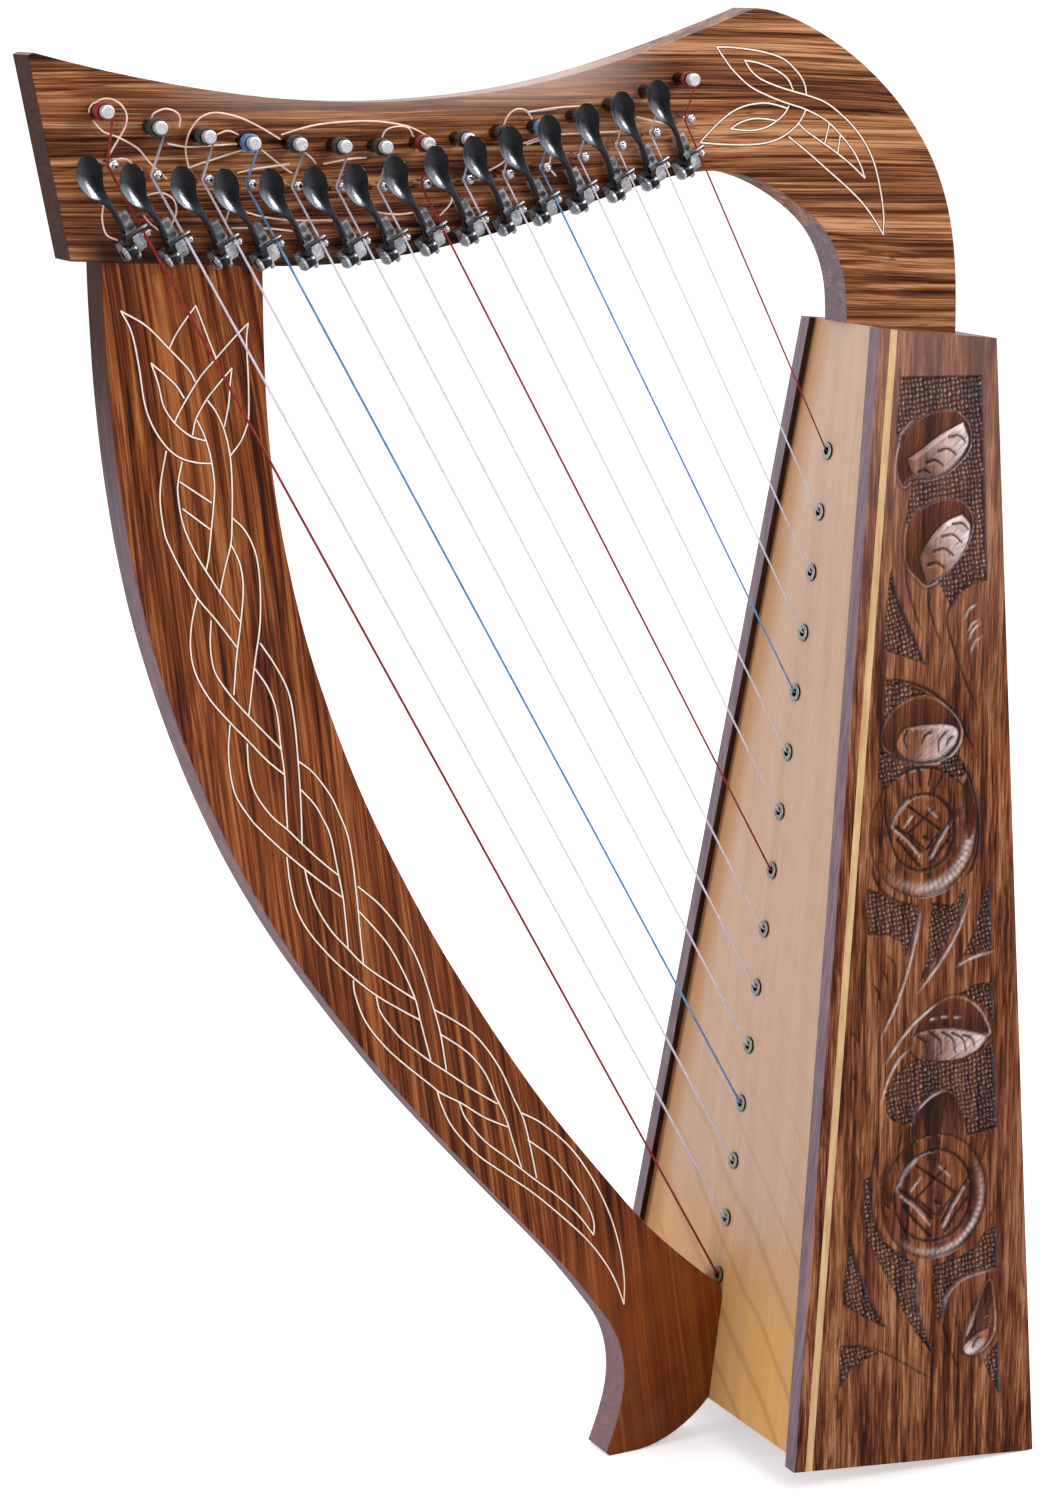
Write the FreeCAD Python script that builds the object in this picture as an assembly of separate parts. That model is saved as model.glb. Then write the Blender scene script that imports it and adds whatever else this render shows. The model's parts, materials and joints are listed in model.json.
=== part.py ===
# Small lever harp: soundbox, harmonic-curve neck, bowed pillar and fifteen strings with
# tuning pins, bridge pins and sharping levers.  Units mm.
# +Z is up with the floor at z = 0, +X runs from the pillar towards the soundbox, and the
# strings and levers are on the -Y side of the neck.  Outline points are (x, z).
import FreeCAD, Part
import math
import os

Vector = FreeCAD.Vector
os.makedirs("parts", exist_ok=True)

# ---------------------------------------------------------------- neck and pillar sizes
NECK_FACE_Y = -5.0        # near (-Y) face of neck and pillar
FRAME_T = 17.0            # neck and pillar thickness
FRAME_ROUND = 1.0         # rounding of the long edges
NECK_BACK_Y = NECK_FACE_Y + FRAME_T
MID_Y = NECK_FACE_Y + FRAME_T / 2
TRIM_Y = 60.0             # trimming solids reach this far either side of y = 0

# ---------------------------------------------------------------- soundbox sizes
FRONT_BOT = (84.1, 13.4)  # side profile corners
FRONT_TOP = (146.9, 481.9)
BACK_TOP = (205.1, 475.3)
BACK_BOT = (205.1, 0.0)
REST_FLAT = 4.0           # flat the box stands on at its rear bottom corner
HALF_W_BOT = 82.0         # half width at the bottom and top
HALF_W_TOP = 31.0
PANEL_T = 7.5
PANEL_ROUND = 1.0
BOARD_RECESS = 2.75       # soundboard lies this far below the panel front edges
BOARD_T = 3.0
BOARD_REAR = BOARD_RECESS + BOARD_T
BOARD_LOW = 4.0           # lower edge of the soundboard above the panel bottom
BACK_T = 5.0
BLOCK_HIGH = 76.0         # top of the bottom block, along the front edge
BLOCK_T = 20.0
FLOOR_T = 8.0
TOP_BLOCK_LOW = 440.0
LINER_W = 8.0
LINER_T = 9.0
RIB_W = 18.0
RIB_T = 4.5
BRACE_LOWS = [147.0, 251.0, 348.0]
BRACE_W = 9.0
BRACE_T = 8.0
SOUND_HOLES = [(100.0, 27.0), (203.0, 24.0), (306.0, 20.0), (397.0, 15.0)]  # along, radius
HOLE_REACH = 12.0         # sound hole cutter either side of the back face
PURFLING_DEPTH_IN = 5.4   # strip starts this far behind the front edge
PURFLING_W = 3.4
PURFLING_T = 2.0

# ---------------------------------------------------------------- dowels
DOWEL_R = 4.0
NECK_PILLAR_DOWEL_X = (-160.0, -138.0)
NECK_PILLAR_DOWEL_Z = 490.0
NECK_PILLAR_DOWEL_L = 36.0
NECK_BOX_DOWEL_DEPTHS = (18.0, 41.0)
NECK_BOX_DOWEL_SPAN = (454.0, 492.0)    # along the front edge
FOOT_DOWEL_ALONGS = (17.0, 38.0)
FOOT_DOWEL_SPAN = (-16.0, 20.0)         # depth from the front edge

# ---------------------------------------------------------------- strings and their pins
PIN_R = 2.5               # tuning pin
PIN_HOLE_R = PIN_R + 0.05
PIN_OUT = 14.0            # reach beyond the near face
PIN_BACK = 1.5            # round part beyond the far face
PIN_ROUND = 0.7
PIN_SQUARE = 3.7          # square for the tuning key
PIN_SQUARE_L = 10.0
PIN_OVERLAP = 0.5         # square runs this far into the round part
PIN_EYE_R = 0.5           # cross hole for the string
BRIDGE_R = 1.6
BRIDGE_WAIST_R = 1.1
BRIDGE_WAIST_HALF = 0.7   # half length of the waist
BRIDGE_SHOULDER = 1.0     # full shank ends this far short of the string
BRIDGE_BALL_R = 2.0
BRIDGE_DEPTH = 9.0
BRIDGE_GAP = 0.04         # between string and waist
STRING_H = 8.5            # string height above the neck face at the bridge pin
COIL_OUT = 9.0            # start of the winding on the tuning pin
COIL_TURNS = 4
EYE_R = 3.7
EYE_BARREL_R = 2.5
EYE_HOLE_R = 1.7
EYE_LIP = 0.9
EYE_ROUND = 0.35
EYE_BEND = 0.75           # string bends this far in front of the soundboard
EYE_FIRST = 58.8          # eyelets, measured up the soundboard
EYE_PITCH = 25.72
STRING_HOLE_R = 1.1
KNOT_R = 2.0
KNOT_GAP = 0.05
STRING_KNOT_GAP = 0.02

# Bass to treble: tuning pin x z, bridge pin x z, string radius, distance of the fret rod
# from the bridge pin along the string, string colour
STRING_TABLE = [
    (-179.7, 574.8, -177.1, 555.5, 0.50, 29.9, "red"),
    (-159.1, 568.6, -160.0, 551.4, 0.49, 29.0, "clear"),
    (-139.9, 564.9, -139.8, 549.2, 0.48, 28.2, "clear"),
    (-122.0, 562.1, -122.3, 547.0, 0.46, 27.2, "blue"),
    (-103.1, 561.3, -103.7, 545.8, 0.45, 26.4, "clear"),
    (-84.8, 560.1, -85.4, 545.0, 0.44, 25.2, "clear"),
    (-67.8, 559.4, -68.0, 544.6, 0.42, 23.8, "clear"),
    (-50.0, 560.3, -50.1, 545.0, 0.41, 21.4, "red"),
    (-32.8, 561.6, -31.8, 546.2, 0.40, 19.0, "clear"),
    (-15.6, 563.3, -14.5, 547.8, 0.39, 17.0, "clear"),
    (0.9, 565.2, 1.7, 550.0, 0.37, 15.6, "blue"),
    (18.0, 568.9, 18.5, 553.6, 0.36, 15.2, "clear"),
    (34.4, 573.2, 35.2, 557.6, 0.35, 15.2, "clear"),
    (50.5, 578.0, 50.5, 562.3, 0.34, 15.8, "clear"),
    (66.1, 582.6, 65.9, 567.3, 0.33, 16.8, "red"),
]

# ---------------------------------------------------------------- outlines (x, z)
NECK_BOTTOM = [
    (-191.0, 520.0), (-178.7, 519.2), (-150.0, 517.6), (-125.0, 516.0), (-100.0, 514.9),
    (-80.0, 515.2), (-60.0, 516.8), (-42.9, 519.1), (-25.6, 522.3), (-8.1, 526.2),
    (9.6, 530.4), (27.5, 535.2), (45.5, 540.2), (63.7, 544.3), (80.3, 546.0),
    (97.6, 543.8), (112.8, 537.8), (125.0, 530.3), (136.0, 520.4), (142.6, 509.6),
    (146.3, 497.2), (147.3, 484.0), (147.4, 470.0)]
NECK_RIGHT = [
    (201.4, 470.0), (200.9, 497.5), (197.8, 521.0), (193.4, 535.8), (187.2, 549.0),
    (177.9, 562.8), (167.8, 574.3), (157.5, 583.6), (147.6, 591.0), (137.7, 597.2),
    (128.1, 602.2), (118.6, 606.2), (110.0, 608.8), (101.2, 610.0)]
NECK_TOP = [
    (101.2, 610.0), (78.7, 602.2), (52.3, 593.8), (29.5, 587.5), (5.6, 582.2),
    (-21.0, 578.3), (-42.5, 576.6), (-59.5, 575.9), (-76.3, 576.0), (-92.9, 576.8),
    (-109.3, 578.2), (-125.5, 580.2), (-141.5, 582.6), (-157.3, 585.4), (-172.9, 588.6),
    (-188.3, 592.2), (-203.0, 596.0)]
NECK_TIP = (-205.1, 595.2)
PILLAR_OUTER = [
    (-179.0, 530.0), (-178.9, 504.0), (-178.4, 489.0), (-177.7, 473.7), (-176.6, 458.4),
    (-175.2, 443.1), (-173.3, 427.6), (-171.0, 411.9), (-168.1, 396.2), (-164.6, 380.2),
    (-160.3, 364.1), (-155.4, 347.8), (-149.8, 331.4), (-143.4, 314.6), (-136.2, 297.7),
    (-128.0, 280.3), (-118.6, 262.8), (-107.9, 244.8), (-95.8, 226.5), (-82.6, 207.9),
    (-68.4, 188.8), (-52.8, 169.3), (-35.8, 149.2), (-18.0, 128.8), (0.6, 107.9),
    (19.0, 86.7), (33.2, 67.8), (39.8, 57.6), (43.5, 47.5), (45.0, 37.5),
    (44.6, 28.0), (42.7, 19.0), (39.8, 10.0), (36.6, 1.6)]
FOOT_CORNER = (38.2, 0.0)
FOOT_CURVE = [(53.0, 0.0), (62.0, 1.7), (71.1, 5.4), (80.2, 11.2)]
FOOT_JOINT_Z = (18.0, 62.5)   # lower and upper end of the foot's face on the soundboard
PILLAR_INNER = [
    (92.0, 69.0), (83.4, 76.0), (74.2, 84.2), (60.8, 97.0), (36.9, 125.0),
    (13.0, 155.2), (-7.6, 184.4), (-25.9, 212.9), (-42.6, 240.6), (-57.1, 267.7),
    (-70.1, 294.0), (-81.1, 319.7), (-90.3, 344.8), (-98.1, 369.5), (-104.0, 393.8),
    (-108.6, 417.6), (-111.7, 441.2), (-113.3, 464.4), (-113.9, 487.4), (-114.0, 530.0)]


# ---------------------------------------------------------------- helpers
def at(point, y):
    return Vector(point[0], y, point[1])


def unit(x, z):
    size = math.hypot(x, z)
    return (x / size, z / size)


def smooth_edge(points, y):
    curve = Part.BSplineCurve()
    curve.interpolate([at(point, y) for point in points])
    return curve.toShape()


def outline_prism(runs, y, width):
    """Extrude a closed outline: each run is a smooth curve or a lone corner, joined by lines."""
    edges = []
    for run, following in zip(runs, runs[1:] + runs[:1]):
        if len(run) > 1:
            edges.append(smooth_edge(run, y))
        if run[-1] != following[0]:
            edges.append(Part.makeLine(at(run[-1], y), at(following[0], y)))
    wire = Part.Wire(Part.__sortEdges__(edges))
    return Part.Face(wire).extrude(Vector(0, width, 0))


def slab(polygon, y_start, y_end):
    """Solid over an x z polygon between the planes y_start(x, z) and y_end(x, z)."""
    near = [Vector(x, y_start(x, z), z) for x, z in polygon]
    far = [Vector(x, y_end(x, z), z) for x, z in polygon]
    faces = [Part.Face(Part.makePolygon(side + side[:1])) for side in (near, far)]
    for i in range(len(polygon)):
        j = (i + 1) % len(polygon)
        faces.append(Part.Face(Part.makePolygon([near[i], near[j], far[j], far[i], near[i]])))
    solid = Part.makeSolid(Part.makeShell(faces))
    solid.fix(1e-6, 1e-6, 1e-6)
    if solid.Volume < 0:
        solid.reverse()
    return solid


def flat(y):
    return lambda x, z: y


def rod_between(start, end, radius):
    axis = end.sub(start)
    return Part.makeCylinder(radius, axis.Length, start, axis)


def fused(shapes):
    return shapes[0].multiFuse(shapes[1:]).removeSplitter()


def cut_each(shape, tools):
    for tool in tools:
        shape = shape.cut(tool)
    return shape


def rounded(shape, radius, pick):
    # Guards against a fillet the kernel refuses: the shape then keeps its sharp edges.
    try:
        result = shape.makeFillet(radius, [edge for edge in shape.Edges if pick(edge)])
        if result.isValid() and result.Volume > 0:
            return result
    except Exception:
        pass
    return shape


def edge_ends(edge):
    return edge.Vertexes[0].Point, edge.Vertexes[-1].Point


def export(name, shapes):
    solids = [solid for shape in shapes for solid in shape.Solids]
    for solid in solids:
        if not solid.isValid():
            raise RuntimeError("invalid solid in " + name)
    result = solids[0] if len(solids) == 1 else Part.makeCompound(solids)
    result.exportStep("parts/%s.step" % name)


# ---------------------------------------------------------------- soundbox frame
# "along" runs up the front edge from FRONT_BOT, "depth" runs square to it into the box.
FRONT_L = math.hypot(FRONT_TOP[0] - FRONT_BOT[0], FRONT_TOP[1] - FRONT_BOT[1])
ALONG_DIR = ((FRONT_TOP[0] - FRONT_BOT[0]) / FRONT_L, (FRONT_TOP[1] - FRONT_BOT[1]) / FRONT_L)
DEPTH_DIR = (ALONG_DIR[1], -ALONG_DIR[0])


def box_point(along, depth):
    return (FRONT_BOT[0] + along * ALONG_DIR[0] + depth * DEPTH_DIR[0],
            FRONT_BOT[1] + along * ALONG_DIR[1] + depth * DEPTH_DIR[1])


def box_vector(along, depth, y):
    return at(box_point(along, depth), y)


def box_coords(point):
    x, z = point[0] - FRONT_BOT[0], point[1] - FRONT_BOT[1]
    return (x * ALONG_DIR[0] + z * ALONG_DIR[1], x * DEPTH_DIR[0] + z * DEPTH_DIR[1])


BACK_TOP_ALONG, BACK_TOP_DEPTH = box_coords(BACK_TOP)
BACK_BOT_ALONG, BACK_BOT_DEPTH = box_coords(BACK_BOT)
REST_START = (BACK_BOT[0] - REST_FLAT, 0.0)


def back_depth(along):
    slope = (BACK_TOP_DEPTH - BACK_BOT_DEPTH) / (BACK_TOP_ALONG - BACK_BOT_ALONG)
    return BACK_BOT_DEPTH + (along - BACK_BOT_ALONG) * slope


def back_inside(along):
    return back_depth(along) - BACK_T


def top_along(depth):
    return FRONT_L + depth * (BACK_TOP_ALONG - FRONT_L) / BACK_TOP_DEPTH


def inner_top_corner():
    """Where the top edge meets the inner face of the back panel."""
    along = FRONT_L
    for _ in range(20):
        along = top_along(back_inside(along))
    return box_point(along, back_inside(along))


def half_width(x, z):
    along, depth = box_coords((x, z))
    # the taper runs along the box, square to its bottom edge
    share = (along - depth * BACK_BOT_ALONG / BACK_BOT_DEPTH) / FRONT_L
    return HALF_W_BOT + (HALF_W_TOP - HALF_W_BOT) * share


def side_plane(sign, inset):
    """Plane inside the outer side face by inset; sign -1 is the left (-Y) side."""
    return lambda x, z: sign * (half_width(x, z) - inset)


def across(polygon, inset=PANEL_T):
    """Solid spanning the box, stopping inset short of both outer side faces."""
    return slab(polygon, side_plane(-1, inset), side_plane(1, inset))


def left_and_right(polygon, inset, thickness):
    return [slab(polygon, side_plane(-1, inset), side_plane(-1, inset + thickness)),
            slab(polygon, side_plane(1, inset + thickness), side_plane(1, inset))]


def front_strip(low, high, near, far):
    return [box_point(low, near), box_point(high, near),
            box_point(high, far), box_point(low, far)]


def back_strip(low, high, thickness):
    """Outline of a strip lying on the inner face of the back panel."""
    return [box_point(low, back_inside(low) - thickness),
            box_point(high, back_inside(high) - thickness),
            box_point(high, back_inside(high)), box_point(low, back_inside(low))]


# ---------------------------------------------------------------- string courses
def string_stop_depth(along):
    """Rear face of the bottom block or rib, which the knot bears on."""
    return BOARD_REAR + (BLOCK_T if along < BLOCK_HIGH else RIB_T)


class Course:
    """Run of one string from eyelet round the bridge pin to the tuning pin.

    place() puts a lever part on the neck.  Lever parts have their own frame: its x runs
    down the string from the fret rod, y to the right (+X), z out from the neck face.
    """

    def __init__(self, index, row):
        self.pin = row[0:2]
        self.bridge = row[2:4]
        self.radius, fret, self.colour = row[4:]
        self.eye_along = EYE_FIRST + EYE_PITCH * index
        self.eye = box_point(self.eye_along, BOARD_RECESS - EYE_BEND)
        self.corner, self.tangent = self.find_bends()
        run_x = self.eye[0] - self.corner[0]
        run_z = self.eye[1] - self.corner[1]
        down = unit(run_x, run_z)
        slope = (STRING_H - NECK_FACE_Y) / math.hypot(run_x, run_z)
        self.fret_height = STRING_H - slope * fret
        origin = (self.corner[0] + down[0] * fret, self.corner[1] + down[1] * fret)
        self.placement = FreeCAD.Placement(FreeCAD.Matrix(
            down[0], -down[1], 0.0, origin[0],
            0.0, 0.0, -1.0, NECK_FACE_Y,
            down[1], down[0], 0.0, origin[1],
            0.0, 0.0, 0.0, 1.0))

    def find_bends(self):
        """Corner at the bridge pin and tangent point on the winding, found by turns."""
        pin, bridge, eye = self.pin, self.bridge, self.eye
        wrap = PIN_HOLE_R + self.radius
        corner, tangent = bridge, pin
        for _ in range(12):
            # both legs of the string pass the bridge pin with the same gap
            lower = unit(eye[0] - corner[0], eye[1] - corner[1])
            upper = unit(tangent[0] - corner[0], tangent[1] - corner[1])
            middle = unit(lower[0] + upper[0], lower[1] + upper[1])
            cosine = lower[0] * upper[0] + lower[1] * upper[1]
            half_angle = math.acos(max(-1.0, min(1.0, cosine))) / 2
            offset = (BRIDGE_WAIST_R + self.radius + BRIDGE_GAP) / math.sin(half_angle)
            corner = (bridge[0] - middle[0] * offset, bridge[1] - middle[1] * offset)
            # of the two tangents, the string takes the right (+X) one
            x, z = corner[0] - pin[0], corner[1] - pin[1]
            heading = math.atan2(z, x)
            swing = math.acos(wrap / math.hypot(x, z))
            tangent = max([(pin[0] + wrap * math.cos(heading + turn),
                            pin[1] + wrap * math.sin(heading + turn))
                           for turn in (swing, -swing)], key=lambda point: point[0])
        return corner, tangent

    def place(self, shape):
        placed = shape.copy()
        placed.Placement = self.placement.multiply(placed.Placement)
        return placed


# ---------------------------------------------------------------- lever parts, lever frame
PIVOT_X, PIVOT_Z = 2.3, 4.8
HUB_R = 2.9
LEVER_BORE_R = 1.20
RIVET_R = 1.15
RIVET_HEAD_R = 1.9
RIVET_END = -3.8
BRACKET_LEFT, BRACKET_RIGHT = -10.0, -0.9
BRACKET_LEAF_T = 1.0
BLOCK_LEFT = -5.0         # left face of the screw block and rod holder
BLOCK_TOP = 4.6
SCREW_XS = (-9.2, -5.3)
SCREW_Y = -2.95
SCREW_R = 0.8
SCREW_TIP = -6.0
SCREW_HEAD_R, SCREW_HEAD_T = 1.4, 0.7
SLOT_L, SLOT_W = 3.2, 0.4
SLOT_FLOOR = 0.35         # slot starts this far up the head
ROD_R = 1.0
ROD_BALL_R = 1.4
ROD_GAP = 0.25            # between fret rod and string
ROD_START, ROD_END = -4.6, 2.0
FINGER_R = 0.9
FINGER_ARM = 7.9          # pivot to finger
FINGER_REST = 50.0        # degrees the arm leans back from z
FINGER_START, FINGER_END = -7.9, 1.2

# Bracket profiles, (x, z)
EAR_PROFILE = [(-1.6, 0.0), (4.6, 0.0), (5.3, 1.6), (5.2, 4.8), (-0.6, 4.8), (-1.6, 2.4)]
HOLDER_PROFILE = [(-2.6, 0.0), (4.4, 0.0), (4.4, 5.2), (2.2, 7.4), (-1.8, 7.4), (-2.6, 6.6)]
NOSE_PROFILE = [(3.0, 0.0), (5.0, 0.0), (7.2, 1.2), (7.4, 2.2), (6.0, 4.4), (3.0, 5.4)]

# Lever stem sections: centre x y z, width, height, lean in degrees
STEM_SECTIONS = [
    (1.2, -6.95, 5.0, 3.3, 4.4, 24), (-5.0, -7.0, 7.9, 2.7, 3.0, 24),
    (-11.0, -7.3, 10.7, 2.2, 2.4, 24), (-16.5, -8.1, 13.2, 2.3, 2.0, 24),
    (-21.8, -9.5, 15.4, 3.5, 1.6, 18), (-26.6, -11.3, 16.6, 5.8, 1.3, 8)]
RING_POINTS = 16
RING_POWER = 0.75         # below 1 squares the oval
DISH_RADII = (7.9, 4.5, 2.7)
HOLLOW_RADII = (7.0, 3.7, 1.7)
DISH_CENTRE = Vector(-32.4, -10.8, 17.5)
DISH_TURN = -25.0


def cross_rod(x, y_start, y_end, z, radius):
    return Part.makeCylinder(radius, y_end - y_start, Vector(x, y_start, z), Vector(0, 1, 0))


def cross_prism(profile, y_start, y_end):
    wire = Part.makePolygon([at(point, y_start) for point in profile + profile[:1]])
    return Part.Face(wire).extrude(Vector(0, y_end - y_start, 0))


def screw_rod(x, z, length):
    return Part.makeCylinder(SCREW_R, length, Vector(x, SCREW_Y, z), Vector(0, 0, 1))


def make_bracket():
    leaf_right = BRACKET_LEFT + BRACKET_LEAF_T
    base = Part.makeBox(6.6, BRACKET_RIGHT - BRACKET_LEFT, 1.2, Vector(-1.6, BRACKET_LEFT, 0.0))
    ear = cross_prism(EAR_PROFILE, BRACKET_LEFT, leaf_right)
    eye = cross_rod(PIVOT_X, BRACKET_LEFT, leaf_right, PIVOT_Z, HUB_R)
    block = Part.makeBox(9.2, BRACKET_RIGHT - BLOCK_LEFT, BLOCK_TOP,
                         Vector(-11.4, BLOCK_LEFT, 0.0))
    holder = cross_prism(HOLDER_PROFILE, BLOCK_LEFT, BRACKET_RIGHT)
    nose = cross_prism(NOSE_PROFILE, BLOCK_LEFT, BLOCK_LEFT + BRACKET_LEAF_T)
    bracket = fused([base, ear, eye, block, holder, nose])
    bracket = cut_each(bracket, [screw_rod(x, -8.0, 20.0) for x in SCREW_XS])
    return bracket.cut(cross_rod(PIVOT_X, -11.0, RIVET_END, PIVOT_Z, RIVET_R))


def stem_ring(x, y, z, width, height, lean_degrees):
    """Closed oval section, tipped so it stays square to the rising stem."""
    def swell(value):
        return abs(value) ** RING_POWER * math.copysign(1, value)

    lean = math.radians(lean_degrees)
    points = []
    for k in range(RING_POINTS):
        angle = 2 * math.pi * k / RING_POINTS
        rise = swell(math.sin(angle)) * height / 2
        points.append(Vector(x + rise * math.sin(lean),
                             y + swell(math.cos(angle)) * width / 2,
                             z + rise * math.cos(lean)))
    curve = Part.BSplineCurve()
    curve.interpolate(points, PeriodicFlag=True)
    return Part.Wire([curve.toShape()])


def ellipsoid(radii):
    matrix = FreeCAD.Matrix()
    matrix.A11, matrix.A22, matrix.A33 = radii
    return Part.makeSphere(1.0).transformGeometry(matrix)


def make_lever():
    hub = cross_rod(PIVOT_X, -8.8, -5.1, PIVOT_Z, HUB_R)
    stem = Part.makeLoft([stem_ring(*section) for section in STEM_SECTIONS], True, False)
    # thumb dish: lower half of an ellipsoid, hollowed by a smaller one
    lower_half = Part.makeBox(40, 40, 20, Vector(-20, -20, -20))
    outer = ellipsoid(DISH_RADII).common(lower_half)
    hollow = ellipsoid(HOLLOW_RADII)
    dish = outer.cut(hollow)
    seat = FreeCAD.Placement(DISH_CENTRE, FreeCAD.Rotation(Vector(0, 0, 1), DISH_TURN))
    dish.Placement = seat
    hollow.Placement = seat
    # finger that presses the string, joined to the hub by a web
    x = PIVOT_X - FINGER_ARM * math.sin(math.radians(FINGER_REST))
    z = PIVOT_Z + FINGER_ARM * math.cos(math.radians(FINGER_REST))
    web = cross_prism([(-7.2, 8.2), (0.0, 5.0), (0.6, 7.4), (x + 1.5, z + 0.6),
                       (x + 0.4, z + 1.5), (x - 1.2, z + 1.2)], -8.1, -5.7)
    finger = cross_rod(x, FINGER_START, FINGER_END, z, FINGER_R)
    tip = Part.makeSphere(FINGER_R, Vector(x, FINGER_END, z))
    lever = hub.fuse(stem).fuse(web).cut(hollow).fuse(dish).fuse(finger).fuse(tip)
    return lever.cut(cross_rod(PIVOT_X, -12.0, -2.0, PIVOT_Z, LEVER_BORE_R))


def make_rivet():
    shank = cross_rod(PIVOT_X, -10.2, RIVET_END, PIVOT_Z, RIVET_R)
    head = cross_rod(PIVOT_X, BRACKET_LEFT - 0.6, BRACKET_LEFT, PIVOT_Z, RIVET_HEAD_R)
    return fused([shank, head])


def make_screw(x):
    shank = screw_rod(x, SCREW_TIP, BLOCK_TOP - SCREW_TIP)
    head = Part.makeCylinder(SCREW_HEAD_R, SCREW_HEAD_T, Vector(x, SCREW_Y, BLOCK_TOP),
                             Vector(0, 0, 1))
    slot = Part.makeBox(SLOT_L, SLOT_W, 0.4, Vector(x - SLOT_L / 2, SCREW_Y - SLOT_W / 2,
                                                    BLOCK_TOP + SLOT_FLOOR))
    return fused([shank, head]).cut(slot)


def rod_height(course):
    return course.fret_height - course.radius - ROD_R - ROD_GAP


def make_fret_rod(course):
    z = rod_height(course)
    rod = cross_rod(0.0, ROD_START, ROD_END, z, ROD_R)
    return course.place(fused([rod, Part.makeSphere(ROD_BALL_R, Vector(0.0, ROD_END, z))]))


def fit_bracket(bracket, course):
    bore = cross_rod(0.0, ROD_START, 3.0, rod_height(course), ROD_R)
    return course.place(bracket.cut(bore))


# ---------------------------------------------------------------- pins, eyelets, strings
def make_tuning_pin(course):
    x, z = course.pin
    tip_y = NECK_FACE_Y - PIN_OUT
    square_y = NECK_BACK_Y + PIN_BACK
    pin = Part.makeCylinder(PIN_R, square_y - tip_y, Vector(x, tip_y, z), Vector(0, 1, 0))
    pin = rounded(pin, PIN_ROUND,
                  lambda edge: abs(edge.BoundBox.YMax - tip_y) < 0.01 and edge.Closed)
    square = Part.makeBox(PIN_SQUARE, PIN_SQUARE_L + PIN_OVERLAP, PIN_SQUARE,
                          Vector(x - PIN_SQUARE / 2, square_y - PIN_OVERLAP, z - PIN_SQUARE / 2))
    hole_y = NECK_FACE_Y - COIL_OUT - 0.45
    hole = Part.makeCylinder(PIN_EYE_R, 12.0, Vector(x, hole_y, z - 6.0), Vector(0, 0, 1))
    return fused([pin, square]).cut(hole)


def make_bridge_pin(course):
    """Turned pin with a waist for the string and a ball end; (radius, height) profile."""
    waist_top = STRING_H + BRIDGE_WAIST_HALF
    profile = [(0.0, -BRIDGE_DEPTH), (BRIDGE_R, -BRIDGE_DEPTH),
               (BRIDGE_R, STRING_H - BRIDGE_SHOULDER),
               (BRIDGE_WAIST_R, STRING_H - BRIDGE_WAIST_HALF), (BRIDGE_WAIST_R, waist_top)]
    ball_z = waist_top + math.sqrt(BRIDGE_BALL_R ** 2 - BRIDGE_WAIST_R ** 2)
    crown = Vector(0, 0, ball_z + BRIDGE_BALL_R)
    edges = [Part.makeLine(at(start, 0), at(end, 0))
             for start, end in zip(profile[:-1], profile[1:])]
    edges.append(Part.Arc(at(profile[-1], 0), Vector(BRIDGE_BALL_R, 0, ball_z), crown).toShape())
    edges.append(Part.makeLine(crown, at(profile[0], 0)))
    pin = Part.Face(Part.Wire(edges)).revolve(Vector(0, 0, 0), Vector(0, 0, 1), 360)
    pin.Placement = FreeCAD.Placement(at(course.bridge, NECK_FACE_Y),
                                      FreeCAD.Rotation(Vector(0, 0, 1), Vector(0, -1, 0)))
    return pin


def eye_rod(course, behind, ahead, radius):
    """Cylinder on the eyelet axis, from behind to ahead of the soundboard's front face."""
    outward = Vector(-DEPTH_DIR[0], 0, -DEPTH_DIR[1])
    seat = box_vector(course.eye_along, BOARD_RECESS, 0.0)
    return rod_between(seat.sub(outward * behind), seat.add(outward * ahead), radius)


def make_eyelet(course):
    seat = box_vector(course.eye_along, BOARD_RECESS, 0.0)
    lip = rounded(eye_rod(course, 0.0, EYE_LIP, EYE_R), EYE_ROUND,
                  lambda edge: edge.Closed and edge.CenterOfMass.sub(seat).Length > 0.5)
    barrel = eye_rod(course, BOARD_T, 0.0, EYE_BARREL_R)
    return fused([lip, barrel]).cut(eye_rod(course, 6.0, 3.0, EYE_HOLE_R))


def string_hole(course):
    along = course.eye_along
    return rod_between(box_vector(along, BOARD_REAR - 0.5, 0.0),
                       box_vector(along, string_stop_depth(along) + 1.0, 0.0), STRING_HOLE_R)


def knot_depth(course):
    """The knot seats on the rim of the string hole."""
    seat = math.sqrt(KNOT_R ** 2 - STRING_HOLE_R ** 2)
    return string_stop_depth(course.eye_along) + seat + KNOT_GAP


def make_knot(course):
    return Part.makeSphere(KNOT_R, box_vector(course.eye_along, knot_depth(course), 0.0))


def pin_axis_rod(course, start_out, length, radius):
    """Cylinder on the tuning pin axis towards -Y, starting start_out from the near face."""
    return Part.makeCylinder(radius, length, at(course.pin, NECK_FACE_Y - start_out),
                             Vector(0, -1, 0))


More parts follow.
